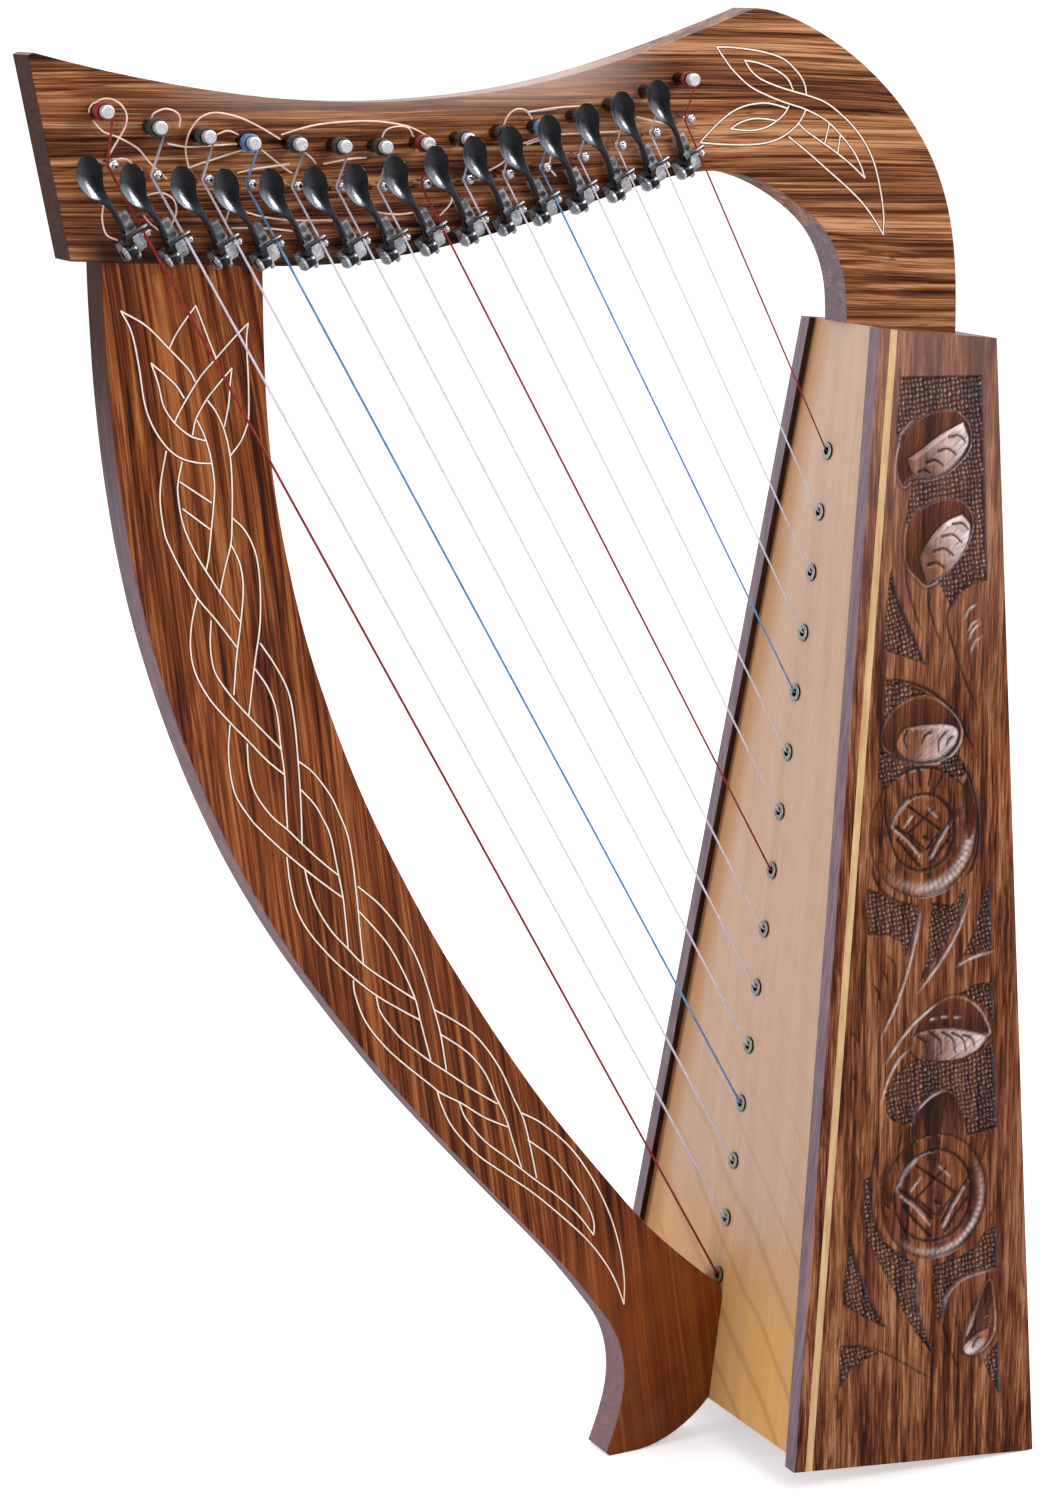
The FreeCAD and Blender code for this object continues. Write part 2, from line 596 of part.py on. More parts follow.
def make_string(course):
    radius = course.radius
    start = box_vector(course.eye_along, knot_depth(course) - KNOT_R - STRING_KNOT_GAP, 0.0)
    eye = at(course.eye, 0.0)
    bridge = at(course.corner, NECK_FACE_Y - STRING_H)
    wrap = at(course.tangent, NECK_FACE_Y - COIL_OUT - radius)
    coil = pin_axis_rod(course, COIL_OUT, COIL_TURNS * 2 * radius, PIN_HOLE_R + 2 * radius)
    coil = coil.cut(pin_axis_rod(course, COIL_OUT - 5, 20, PIN_HOLE_R))
    string = fused([rod_between(start, eye, radius), Part.makeSphere(radius, eye),
                    rod_between(eye, bridge, radius), Part.makeSphere(radius, bridge),
                    rod_between(bridge, wrap, radius), coil])
    # clear whatever the last leg left inside the winding
    return string.cut(pin_axis_rod(course, -5, 40, PIN_HOLE_R))


# ---------------------------------------------------------------- neck and pillar
def box_top_z(x):
    fall = (FRONT_TOP[1] - BACK_TOP[1]) / (BACK_TOP[0] - FRONT_TOP[0])
    return BACK_TOP[1] - (x - BACK_TOP[0]) * fall


def neck_holes(course):
    """Holes for the tuning pin, bridge pin and lever screws."""
    holes = [Part.makeCylinder(PIN_HOLE_R, 60.0, at(course.pin, -30.0), Vector(0, 1, 0)),
             Part.makeCylinder(BRIDGE_R, BRIDGE_DEPTH + 10,
                               at(course.bridge, NECK_FACE_Y - 10.0), Vector(0, 1, 0))]
    return holes + [course.place(screw_rod(x, SCREW_TIP, 16.0)) for x in SCREW_XS]


def make_neck(courses, dowels):
    def long_edge(edge):
        # every edge lying in a side face, except across the bottom of the leg
        start, end = edge_ends(edge)
        leg_z = NECK_RIGHT[0][1]
        return abs(start.y - end.y) < 0.01 and max(start.z, end.z) > leg_z + 0.01

    neck = outline_prism([NECK_BOTTOM, NECK_RIGHT, NECK_TOP, [NECK_TIP]], NECK_FACE_Y, FRAME_T)
    neck = rounded(neck, FRAME_ROUND, long_edge)
    # the leg of the neck stands on the sloping top of the soundbox
    below = [(100.0, 400.0), (260.0, 400.0), (260.0, box_top_z(260.0)),
             (100.0, box_top_z(100.0))]
    neck = neck.cut(slab(below, flat(-TRIM_Y), flat(TRIM_Y)))
    holes = [hole for course in courses for hole in neck_holes(course)]
    return cut_each(neck, holes + dowels)


def board_face_point(z):
    """Point at height z on the soundboard's front face."""
    x_start, z_start = box_point(0.0, BOARD_RECESS)
    return (x_start + (z - z_start) / ALONG_DIR[1] * ALONG_DIR[0], z)


def make_pillar(dowels):
    def long_edge(edge):
        start, end = edge_ends(edge)
        return abs(start.y - end.y) < 0.01 and abs(start.z - end.z) > 100.0

    joint_low, joint_high = [board_face_point(z) for z in FOOT_JOINT_Z]
    pillar = outline_prism([PILLAR_OUTER, [FOOT_CORNER], FOOT_CURVE + [joint_low],
                            [joint_high], PILLAR_INNER], NECK_FACE_Y, FRAME_T)
    pillar = rounded(pillar, FRAME_ROUND, long_edge)
    # trim the top to the underside of the neck
    above = outline_prism([NECK_BOTTOM, [(147.4, 700.0)], [(-230.0, 700.0)],
                           [(-230.0, 520.0)]], -TRIM_Y, 2 * TRIM_Y)
    return cut_each(pillar.cut(above), dowels)


# ---------------------------------------------------------------- soundbox pieces
def make_purfling():
    """Strips let into the outer side faces, cut off along the sloping bottom edge."""
    rest_along, rest_depth = box_coords(REST_START)
    slope = rest_along / rest_depth
    near, far = PURFLING_DEPTH_IN, PURFLING_DEPTH_IN + PURFLING_W
    outline = [box_point(slope * near, near), box_point(top_along(near), near),
               box_point(top_along(far), far), box_point(slope * far, far)]
    return left_and_right(outline, 0.0, PURFLING_T)


def make_side_panels(purfling):
    def long_outer_edge(edge):
        start, end = edge_ends(edge)
        outer = all(abs(abs(p.y) - half_width(p.x, p.z)) < 0.01 for p in (start, end))
        return outer and abs(start.z - end.z) > 100.0

    outline = [FRONT_BOT, REST_START, BACK_BOT, BACK_TOP, FRONT_TOP]
    return [rounded(panel, PANEL_ROUND, long_outer_edge).cut(strip)
            for panel, strip in zip(left_and_right(outline, 0.0, PANEL_T), purfling)]


def make_soundboard(courses, dowels):
    board = across([box_point(BOARD_LOW, BOARD_RECESS),
                    box_point(top_along(BOARD_RECESS), BOARD_RECESS),
                    box_point(top_along(BOARD_REAR), BOARD_REAR),
                    box_point(BOARD_LOW, BOARD_REAR)])
    eye_holes = [eye_rod(course, BOARD_T + 1, 1.0, EYE_BARREL_R) for course in courses]
    return cut_each(board, eye_holes + dowels)


def make_back_panel():
    panel = across([box_point(BOARD_LOW, back_depth(BOARD_LOW)),
                    box_point(BOARD_LOW, back_inside(BOARD_LOW)),
                    inner_top_corner(), BACK_TOP])
    reach = Vector(HOLE_REACH, 0, 0)    # the back stands upright, so its holes run along X
    for along, radius in SOUND_HOLES:
        centre = box_vector(along, back_depth(along), 0.0)
        panel = panel.cut(rod_between(centre.sub(reach), centre.add(reach), radius))
    return panel


def make_top_block(dowels):
    block = across([box_point(TOP_BLOCK_LOW, BOARD_REAR),
                    box_point(top_along(BOARD_REAR), BOARD_REAR), inner_top_corner(),
                    box_point(TOP_BLOCK_LOW, back_inside(TOP_BLOCK_LOW))])
    return cut_each(block, dowels)


def make_bottom_block(courses, dowels):
    block = across(front_strip(BOARD_LOW, BLOCK_HIGH, BOARD_REAR, BOARD_REAR + BLOCK_T))
    holes = [string_hole(course) for course in courses if course.eye_along < BLOCK_HIGH]
    return cut_each(block, dowels + holes)


def make_floor_board():
    high, near = BOARD_LOW + FLOOR_T, BOARD_REAR + BLOCK_T
    return across([box_point(BOARD_LOW, near), box_point(high, near),
                   box_point(high, back_inside(high)),
                   box_point(BOARD_LOW, back_inside(BOARD_LOW))])


def make_string_rib(courses):
    rib = slab(front_strip(BLOCK_HIGH, TOP_BLOCK_LOW, BOARD_REAR, BOARD_REAR + RIB_T),
               flat(-RIB_W / 2), flat(RIB_W / 2))
    return cut_each(rib, [string_hole(course) for course in courses
                          if course.eye_along >= BLOCK_HIGH])


# ---------------------------------------------------------------- build and export
courses = [Course(i, row) for i, row in enumerate(STRING_TABLE)]

neck_pillar_dowels = [
    Part.makeCylinder(DOWEL_R, NECK_PILLAR_DOWEL_L, Vector(x, MID_Y, NECK_PILLAR_DOWEL_Z),
                      Vector(0, 0, 1)) for x in NECK_PILLAR_DOWEL_X]
neck_box_dowels = [
    rod_between(*[box_vector(along, depth, MID_Y) for along in NECK_BOX_DOWEL_SPAN], DOWEL_R)
    for depth in NECK_BOX_DOWEL_DEPTHS]
foot_dowels = [
    rod_between(*[box_vector(along, depth, MID_Y) for depth in FOOT_DOWEL_SPAN], DOWEL_R)
    for along in FOOT_DOWEL_ALONGS]

export("neck", [make_neck(courses, neck_pillar_dowels + neck_box_dowels)])
export("pillar", [make_pillar(neck_pillar_dowels + foot_dowels)])
export("neck_pillar_dowels", neck_pillar_dowels)
export("neck_box_dowels", neck_box_dowels)
export("pillar_foot_dowels", foot_dowels)

purfling = make_purfling()
left_panel, right_panel = make_side_panels(purfling)
export("side_panel_left", [left_panel])
export("side_panel_right", [right_panel])
export("purfling_strips", purfling)
export("soundboard", [make_soundboard(courses, foot_dowels)])
export("back_panel", [make_back_panel()])
export("top_block", [make_top_block(neck_box_dowels)])
export("bottom_block", [make_bottom_block(courses, foot_dowels)])
export("floor_board", [make_floor_board()])
export("string_rib", [make_string_rib(courses)])
export("front_liners", left_and_right(
    front_strip(BLOCK_HIGH, TOP_BLOCK_LOW, BOARD_REAR, BOARD_REAR + LINER_T), PANEL_T, LINER_W))
export("back_liners", left_and_right(
    back_strip(BOARD_LOW + FLOOR_T, TOP_BLOCK_LOW, LINER_T), PANEL_T, LINER_W))
export("back_braces", [across(back_strip(low, low + BRACE_W, BRACE_T), PANEL_T + LINER_W)
                       for low in BRACE_LOWS])

bracket, lever, rivet = make_bracket(), make_lever(), make_rivet()
screws = [make_screw(x) for x in SCREW_XS]
export("eyelets", [make_eyelet(course) for course in courses])
export("string_knots", [make_knot(course) for course in courses])
export("bridge_pins", [make_bridge_pin(course) for course in courses])
export("lever_brackets", [fit_bracket(bracket, course) for course in courses])
export("lever_screws", [course.place(screw) for course in courses for screw in screws])
export("fret_rods", [make_fret_rod(course) for course in courses])
export("lever_rivets", [course.place(rivet) for course in courses])
for colour in ("red", "blue", "clear"):
    export("strings_" + colour,
           [make_string(course) for course in courses if course.colour == colour])
for i, course in enumerate(courses, 1):
    export("tuning_pin_%02d" % i, [make_tuning_pin(course)])
    export("lever_%02d" % i, [course.place(lever)])
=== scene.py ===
"""A small fifteen-string lever harp with inlaid lines and carved soundbox sides.

It stands on z = 0 with its strings in the plane y = 0. X runs from the pillar (-) to the back
of the soundbox (+). The near side, with pin ends, levers and inlay, faces -Y.
"""
import json
import math

import bmesh
import bpy
import numpy as np
from mathutils import Matrix, Vector

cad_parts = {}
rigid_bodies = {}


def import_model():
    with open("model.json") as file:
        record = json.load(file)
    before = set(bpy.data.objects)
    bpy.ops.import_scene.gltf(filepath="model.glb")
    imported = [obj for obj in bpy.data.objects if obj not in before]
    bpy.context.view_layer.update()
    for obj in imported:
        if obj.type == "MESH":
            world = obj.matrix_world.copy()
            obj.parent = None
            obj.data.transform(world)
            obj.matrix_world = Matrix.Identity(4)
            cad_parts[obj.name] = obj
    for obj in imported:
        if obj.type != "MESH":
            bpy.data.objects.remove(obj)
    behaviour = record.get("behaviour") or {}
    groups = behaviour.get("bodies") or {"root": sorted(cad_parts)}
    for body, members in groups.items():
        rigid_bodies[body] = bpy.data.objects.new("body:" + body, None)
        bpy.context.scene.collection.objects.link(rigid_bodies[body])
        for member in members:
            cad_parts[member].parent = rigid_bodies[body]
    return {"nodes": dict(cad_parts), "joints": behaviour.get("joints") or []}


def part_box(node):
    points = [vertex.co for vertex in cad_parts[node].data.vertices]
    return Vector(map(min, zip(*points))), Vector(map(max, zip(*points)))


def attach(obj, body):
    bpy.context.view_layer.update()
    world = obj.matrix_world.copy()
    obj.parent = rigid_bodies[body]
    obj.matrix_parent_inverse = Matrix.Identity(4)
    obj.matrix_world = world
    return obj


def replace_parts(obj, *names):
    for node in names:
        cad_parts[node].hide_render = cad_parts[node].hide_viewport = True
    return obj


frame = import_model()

NODES = frame["nodes"]
MM = 0.001

for item in list(bpy.data.objects):
    if item.name not in NODES and not item.name.startswith("body:"):
        bpy.data.objects.remove(item)
bpy.context.view_layer.update()


# ---------------------------------------------------------------- shader nodes
def srgb(*channels):
    """Linear colour with alpha from three 0-255 channels."""
    def linear(channel):
        c = channel / 255.0
        return c / 12.92 if c <= 0.04045 else ((c + 0.055) / 1.055) ** 2.4
    return tuple(linear(c) for c in channels) + (1.0,)


def grey(level):
    return (level, level, level, 1.0)


def scaled(colour, factor):
    return tuple(min(1.0, c * factor) for c in colour[:3]) + (1.0,)


class Nodes:
    """Short calls for building a shader tree. Most return an output socket."""
    def __init__(self, tree):
        self.tree = tree

    def node(self, kind, inputs=None, **props):
        node = self.tree.nodes.new("ShaderNode" + kind)
        for name, value in props.items():
            setattr(node, name, value)
        for key, value in (inputs or {}).items():
            self.put(node.inputs[key], value)
        return node

    def put(self, socket, value):
        if isinstance(value, bpy.types.NodeSocket):
            self.tree.links.new(value, socket)
        else:
            socket.default_value = value

    def math(self, operation, first, second=None):
        inputs = {0: first} if second is None else {0: first, 1: second}
        return self.node("Math", inputs, operation=operation).outputs[0]

    def add(self, first, second):
        return self.math("ADD", first, second)

    def sub(self, first, second):
        return self.math("SUBTRACT", first, second)

    def mul(self, first, second):
        return self.math("MULTIPLY", first, second)

    def mix(self, share, first, second):
        inputs = {0: share, 6: first, 7: second}
        return self.node("Mix", inputs, data_type="RGBA").outputs[2]

    def remap(self, value, low, high, to_low=0.0, to_high=1.0, **props):
        inputs = {"Value": value, "From Min": low, "From Max": high,
                  "To Min": to_low, "To Max": to_high}
        return self.node("MapRange", inputs, **props).outputs[0]

    def ease(self, value, low, high, to_low=0.0, to_high=1.0):
        return self.remap(value, low, high, to_low, to_high, interpolation_type="SMOOTHSTEP")

    def xyz(self, vector):
        return self.node("SeparateXYZ", {"Vector": vector}).outputs

    def light_path(self, ray):
        return self.node("LightPath").outputs[ray]


class Material(Nodes):
    """A Principled material; `point` is the place in object coordinates."""
    def __init__(self, name):
        self.data = bpy.data.materials.new(name)
        self.data.use_nodes = True
        super().__init__(self.data.node_tree)
        self.tree.nodes.clear()
        output = self.node("OutputMaterial")
        self.shader = self.node("BsdfPrincipled")
        self.tree.links.new(self.shader.outputs[0], output.inputs[0])
        self.point = self.node("TexCoord").outputs["Object"]

    def finish(self, **inputs):
        """Set the Principled inputs, underscores for spaces, and return the material."""
        for name, value in inputs.items():
            self.put(self.shader.inputs[name.replace("_", " ")], value)
        return self.data

    def normal(self):
        return self.xyz(self.node("NewGeometry").outputs["Normal"])

    def noise(self, vector, scale=1.0, detail=3.0, roughness=0.55):
        inputs = {"Vector": vector, "Scale": scale, "Detail": detail, "Roughness": roughness}
        return self.node("TexNoise", inputs).outputs["Fac"]

    def mapping(self, vector, **inputs):
        return self.node("Mapping", {"Vector": vector, **inputs}).outputs[0]

    def turned(self, vector, rotation, scale, location=(0, 0, 0)):
        """Rotate first, then scale and move."""
        rotated = self.mapping(vector, Rotation=rotation)
        return self.mapping(rotated, Scale=scale, Location=location)

    def grain(self, angle, scale, detail=3.0, location=(0, 0, 0), tilt=0.0):
        """Noise stretched along a direction in the x-z plane."""
        return self.noise(self.turned(self.point, (tilt, angle, 0), scale, location), 1.0, detail)

    def moved(self, vector, y=0.0, z=0.0):
        shift = self.node("CombineXYZ", {"X": 0.0, "Y": y, "Z": z}).outputs[0]
        return self.node("VectorMath", {0: vector, 1: shift}, operation="ADD").outputs[0]

    def swing(self, noise, amount):
        """Noise centred on zero."""
        return self.mul(self.sub(noise, 0.5), amount)

    def spread(self, noise, low=0.0, high=1.0):
        """The middle band of a noise stretched over a range."""
        return self.remap(noise, 0.3, 0.7, low, high)

    def ramp(self, value, stops):
        node = self.node("ValToRGB", {"Fac": value})
        elements = node.color_ramp.elements
        while len(elements) < len(stops):
            elements.new(0.5)
        for element, (position, colour) in zip(elements, stops):
            element.position = position
            element.color = colour
        return node.outputs[0]

    def bump(self, height, distance, strength, normal=None):
        inputs = {"Height": height, "Distance": distance, "Strength": strength}
        if normal is not None:
            inputs["Normal"] = normal
        return self.node("Bump", inputs).outputs[0]


# ---------------------------------------------------------------- rosewood
# four grain colours each, dark to light
NECK_GRAIN = [srgb(36, 11, 3), srgb(98, 49, 22), srgb(146, 89, 51), srgb(194, 141, 99)]
PILLAR_GRAIN = [srgb(42, 10, 2), srgb(94, 38, 10), srgb(126, 61, 22), srgb(164, 98, 50)]
BOX_GRAIN = [srgb(42, 13, 4), srgb(92, 43, 18), srgb(127, 72, 41), srgb(165, 113, 78)]


def edge_tone(mat, colour, fine, pale_share):
    """Faces turned to -X: a painted violet-grey sheen by the pillar and low down, dark elsewhere."""
    facing = mat.normal()[0]
    place = mat.xyz(mat.point)
    pale_zone = mat.math("MAXIMUM", mat.remap(place[0], -0.150, -0.120),
                         mat.ease(place[2], 0.500, 0.400))
    dark = mat.mul(mat.ease(facing, -0.45, -0.85, 0.0, 0.92), mat.sub(1.0, pale_zone))
    colour = mat.mix(dark, colour, srgb(52, 20, 10))
    pale = mat.mul(mat.ease(facing, -0.45, -0.85, 0.0, pale_share), pale_zone)
    sheen = mat.mix(mat.spread(fine), srgb(112, 100, 112), srgb(140, 126, 136))
    return mat.mix(pale, colour, sheen)


def carving_tone(mat, colour, roughness, grain):
    """Colour and roughness from the "carve" attribute: red painted shade, green painted highlight
    with lower roughness, blue warm.
    """
    attribute = mat.node("Attribute", attribute_name="carve").outputs["Color"]
    dark, gloss, warm = mat.node("SeparateColor", {"Color": attribute}).outputs[:3]
    warm_wood = mat.mix(grain, srgb(44, 14, 5), srgb(122, 58, 26))
    colour = mat.mix(mat.mul(warm, 0.75), colour, warm_wood)
    # painted shade in the cuts and hollows of the carving
    colour = mat.mix(dark, colour, srgb(26, 9, 5))
    # the highlight is broken up by fibres
    fibre = mat.grain(0.6, (160, 500, 900))
    shine = mat.mul(gloss, mat.remap(fibre, 0.38, 0.60, 0.42, 1.0))
    return mat.mix(shine, colour, srgb(226, 212, 208)), mat.mix(gloss, roughness, grey(0.2))


def rosewood(name, angle, stops, seed, warp, fineness=1.0, tone=None, edge=0.0, carved=False):
    """Oiled rosewood; angle is the grain direction in the x-z plane, in degrees from +X."""
    mat = Material(name)
    angle = math.radians(angle)
    # two slow waves, in metres, bend the grain
    wave = mat.grain(angle, (5, 16, 16), 2.0, (seed, 2.0, 1.0))
    slow_wave = mat.grain(angle, (1.6, 5, 5), 1.0, (seed + 3, 4.0, 1.0))
    bend = mat.add(mat.swing(wave, 0.010 * warp), mat.swing(slow_wave, 0.035 * warp))
    bent = mat.moved(mat.mapping(mat.point, Rotation=(0, angle, 0)), y=bend, z=bend)

    def layer(along, across, y, z, detail, roughness):
        across *= fineness
        vector = mat.mapping(bent, Scale=(along, across * 0.55, across), Location=(seed, y, z))
        return mat.noise(vector, 1.0, detail, roughness)

    broad = layer(along=2.2, across=62, y=1.3, z=7.1, detail=2.0, roughness=0.5)
    middle = layer(along=5.0, across=210, y=5.3, z=2.2, detail=3.0, roughness=0.62)
    fine = layer(along=14.0, across=720, y=3.9, z=9.4, detail=3.0, roughness=0.6)
    pore = layer(along=90.0, across=2600, y=8.9, z=3.4, detail=2.0, roughness=0.5)
    grain = mat.add(mat.mul(broad, 0.24), mat.mul(middle, 0.42))
    grain = mat.remap(mat.add(grain, mat.mul(fine, 0.34)), 0.40, 0.60)
    colour = mat.ramp(grain, list(zip((0.04, 0.34, 0.63, 0.97), stops)))
    # thin near-black veins where a noise crosses its middle
    vein = layer(along=2.0, across=150, y=11.0, z=4.0, detail=1.0, roughness=0.5)
    from_vein = mat.math("ABSOLUTE", mat.sub(vein, 0.5))
    colour = mat.mix(mat.ease(from_vein, 0.0, 0.022, 0.62, 0.0), colour, stops[0])
    # pores as short dark dashes
    colour = mat.mix(mat.remap(pore, 0.60, 0.70, 0.0, 0.55), colour, scaled(stops[0], 0.6))
    if tone:
        colour = tone(mat, colour)
    # painted violet-grey sheen on faces turned to -X
    if edge:
        colour = edge_tone(mat, colour, fine, edge)
    roughness = mat.spread(fine, 0.30, 0.46)
    normal = None
    # painted shade and painted highlight of the carving
    if carved:
        colour, roughness = carving_tone(mat, colour, roughness, grain)
    else:
        normal = mat.node("Bevel", {"Radius": 0.0006}, samples=3).outputs[0]
    height = mat.add(mat.mul(fine, 0.6), mat.mul(pore, -0.6))
    return mat.finish(Base_Color=colour, Roughness=roughness, Coat_Weight=0.14,
                      Coat_Roughness=0.16, Normal=mat.bump(height, 0.00012, 0.5, normal),
                      Specular_IOR_Level=0.14)


# lower edge of the neck above z = 0.5: share of the x range, share of 60 mm
NECK_EDGE = [(0.042, 0.328), (0.106, 0.277), (0.182, 0.250), (0.248, 0.230), (0.318, 0.222),
             (0.387, 0.225), (0.451, 0.238), (0.515, 0.280), (0.581, 0.333), (0.644, 0.388),
             (0.703, 0.447), (0.767, 0.512), (0.830, 0.578), (0.891, 0.648), (0.952, 0.717)]


def neck_tone(mat, colour):
    """A dull sheen along the dip of the upper edge, and shade low on the near face."""
    x, _, z = mat.xyz(mat.point)
    high = mat.ease(z, 0.566, 0.590)
    middle = mat.mul(mat.ease(x, -0.170, -0.090), mat.ease(x, 0.070, 0.0))
    colour = mat.mix(mat.mul(mat.mul(high, middle), 0.85), colour, srgb(208, 178, 162))
    # the row of lever plates keeps the lower edge of the near face in shade
    stops = [(position, grey(level)) for position, level in NECK_EDGE]
    low_edge = mat.ramp(mat.remap(x, -0.180, 0.080), stops)
    above = mat.sub(z, mat.add(mat.mul(low_edge, 0.060), 0.500))
    ends = mat.mul(mat.remap(x, -0.195, -0.178), mat.ease(x, 0.082, 0.070))
    facing = mat.ease(mat.normal()[1], -0.5, -0.9)
    near = mat.mul(facing, mat.ease(above, 0.015, 0.003, 0.0, 0.85))
    return mat.mix(mat.mul(near, ends), colour, srgb(20, 8, 4))


def pillar_tone(mat, colour):
    """A warmer, browner foot with an uneven upper border."""
    z = mat.xyz(mat.point)[2]
    cloud = mat.grain(0.7, (30, 60, 60), 2.0)
    foot = mat.ease(mat.add(z, mat.mul(cloud, 0.02)), 0.125, 0.085)
    warm = mat.mix(cloud, srgb(96, 38, 8), srgb(150, 78, 28))
    return mat.mix(mat.mul(foot, 0.62), colour, warm)


def panel_tone(mat, colour):
    """Paler towards the top, redder low down, and painted shade on the inner face of the far panel.
    """
    x, y, z = mat.xyz(mat.point)
    colour = mat.mix(mat.ease(z, 0.30, 0.48, 0.0, 0.30), colour, srgb(150, 120, 110))
    low = mat.ease(z, 0.34, 0.14, 0.0, 0.17)
    low = mat.mul(low, mat.remap(z, 0.03, 0.09, 0.1, 1.0))
    low = mat.mul(low, mat.remap(x, 0.15, 0.20, 0.3, 1.35))
    colour = mat.mix(low, colour, srgb(74, 24, 8))
    # painted shade inside the box, on the far panel's inner face
    facing = mat.ease(mat.normal()[1], -0.5, -0.8, 0.0, 0.85)
    inside = mat.mul(facing, mat.remap(y, 0.010, 0.015))
    return mat.mix(inside, colour, srgb(34, 8, 5))


neck_wood = rosewood("neck_rosewood", -2.0, NECK_GRAIN, seed=1.0, warp=1.0, fineness=2.1,
                     tone=neck_tone, edge=0.75)
pillar_wood = rosewood("pillar_rosewood", -82.0, PILLAR_GRAIN, seed=5.0, warp=0.9, fineness=2.1,
                       tone=pillar_tone, edge=0.6)
panel_wood = rosewood("panel_rosewood", 85.5, BOX_GRAIN, seed=9.0, warp=0.55, fineness=1.7,
                      tone=panel_tone, edge=0.8, carved=True)
block_wood = rosewood("block_rosewood", 0.0, BOX_GRAIN, seed=13.0, warp=0.6)
back_wood = rosewood("back_rosewood", 92.0, BOX_GRAIN, seed=17.0, warp=0.55, fineness=1.7)


# ---------------------------------------------------------------- pale woods
def birch(name):
    """Soundboard: fawn above, golden at the foot, with slanting figure low down."""
    mat = Material(name)
    angle = math.radians(82.4)
    _, y, z = mat.xyz(mat.point)
    grain = mat.grain(angle, (4, 130, 130), 3.0, (2, 0, 0), tilt=0.10)
    fibre = mat.grain(angle, (30, 1400, 1400), 2.0)
    cloud = mat.noise(mat.point, 9.0, 2.0)
    foot = mat.ease(mat.add(z, mat.swing(cloud, 0.05)), 0.125, 0.06)
    colour = mat.mix(foot, srgb(206, 172, 146), srgb(220, 166, 100))
    colour = mat.mix(mat.remap(grain, 0.35, 0.65, 0.0, 0.32), colour, srgb(184, 142, 112))
    colour = mat.mix(mat.remap(fibre, 0.55, 0.75, 0.0, 0.28), colour, srgb(150, 108, 76))
    # slanting figure lines
    bent = mat.moved(mat.turned(mat.point, (0.0, 0, 0), (1, 1, 1)), y=mat.swing(cloud, 0.05))
    slanted = mat.turned(bent, (math.radians(52), 0, 0), (0, 1, 0))
    inputs = {"Vector": slanted, "Scale": 16.0, "Distortion": 2.0, "Detail": 3.0,
              "Detail Scale": 2.0}
    wave = mat.node("TexWave", inputs, wave_type="BANDS", bands_direction="Y").outputs["Fac"]
    figure = mat.mul(mat.remap(wave, 0.90, 1.0, 0.0, 0.42), mat.ease(z, 0.20, 0.04, 0.12, 0.8))
    colour = mat.mix(figure, colour, srgb(140, 92, 46))
    # golden stain and a dark line along the +Y edge, which leans in as it rises
    edge = mat.add(y, mat.mul(z, 0.105))
    colour = mat.mix(mat.ease(edge, 0.055, 0.069, 0.0, 0.72), colour, srgb(180, 124, 62))
    colour = mat.mix(mat.ease(edge, 0.0715, 0.0735, 0.0, 0.7), colour, srgb(112, 68, 38))
    # a thin seam on each side of the eyelet row
    aside = mat.math("ABSOLUTE", y)
    seam = mat.mul(mat.remap(aside, 0.0008, 0.0011), mat.remap(aside, 0.0013, 0.0016, 1.0, 0.0))
    colour = mat.mix(mat.mul(seam, 0.28), colour, srgb(150, 120, 108))
    return mat.finish(Base_Color=colour, Roughness=mat.spread(grain, 0.24, 0.36),
                      Coat_Weight=0.4, Coat_Roughness=0.12,
                      Normal=mat.bump(fibre, 0.00006, 0.5))


def plain_wood(name, dark, light, roughness):
    mat = Material(name)
    angle = math.radians(85.0)
    grain = mat.grain(angle, (12, 420, 420))
    fibre = mat.grain(angle, (60, 2600, 2600), 2.0)
    colour = mat.mix(mat.spread(grain), dark, light)
    colour = mat.mix(mat.remap(fibre, 0.55, 0.75, 0.0, 0.3), colour, scaled(dark, 0.55))
    return mat.finish(Base_Color=colour, Normal=mat.bump(fibre, 0.00006, 0.5),
                      Roughness=mat.spread(fibre, roughness - 0.08, roughness + 0.08))


board_wood = birch("soundboard_birch")
line_wood = plain_wood("blond_line", srgb(178, 140, 92), srgb(212, 176, 128), roughness=0.4)
pale_wood = plain_wood("pale_blocks", srgb(206, 166, 118), srgb(224, 190, 146), roughness=0.5)
inlay_wood = plain_wood("inlay_cream", srgb(240, 214, 194), srgb(254, 234, 220), roughness=0.4)
# dark strip under the inlay lines: a painted shadow line
inlay_shadow_material = plain_wood("inlay_painted_shadow", srgb(52, 22, 10), srgb(70, 32, 16), roughness=0.5)


# ---------------------------------------------------------------- metals
def metal(name, colour, roughness, mottle, metallic=1.0, scale=900.0):
    """Metal with a mottled colour; mottle is the share it varies by."""
    mat = Material(name)
    fine = mat.noise(mat.point, scale, 4.0, 0.6)
    broad = mat.noise(mat.point, scale * 0.22, 2.0)
    both = mat.add(mat.mul(fine, 0.5), mat.mul(broad, 0.5))
    tint = mat.ramp(both, [(0.35, scaled(colour, 1 - mottle)), (0.65, scaled(colour, 1 + mottle))])
    return mat.finish(Base_Color=tint, Metallic=metallic,
                      Roughness=mat.spread(broad, roughness * 0.8, roughness * 1.25),
                      Normal=mat.bump(fine, 0.00003, 0.6))


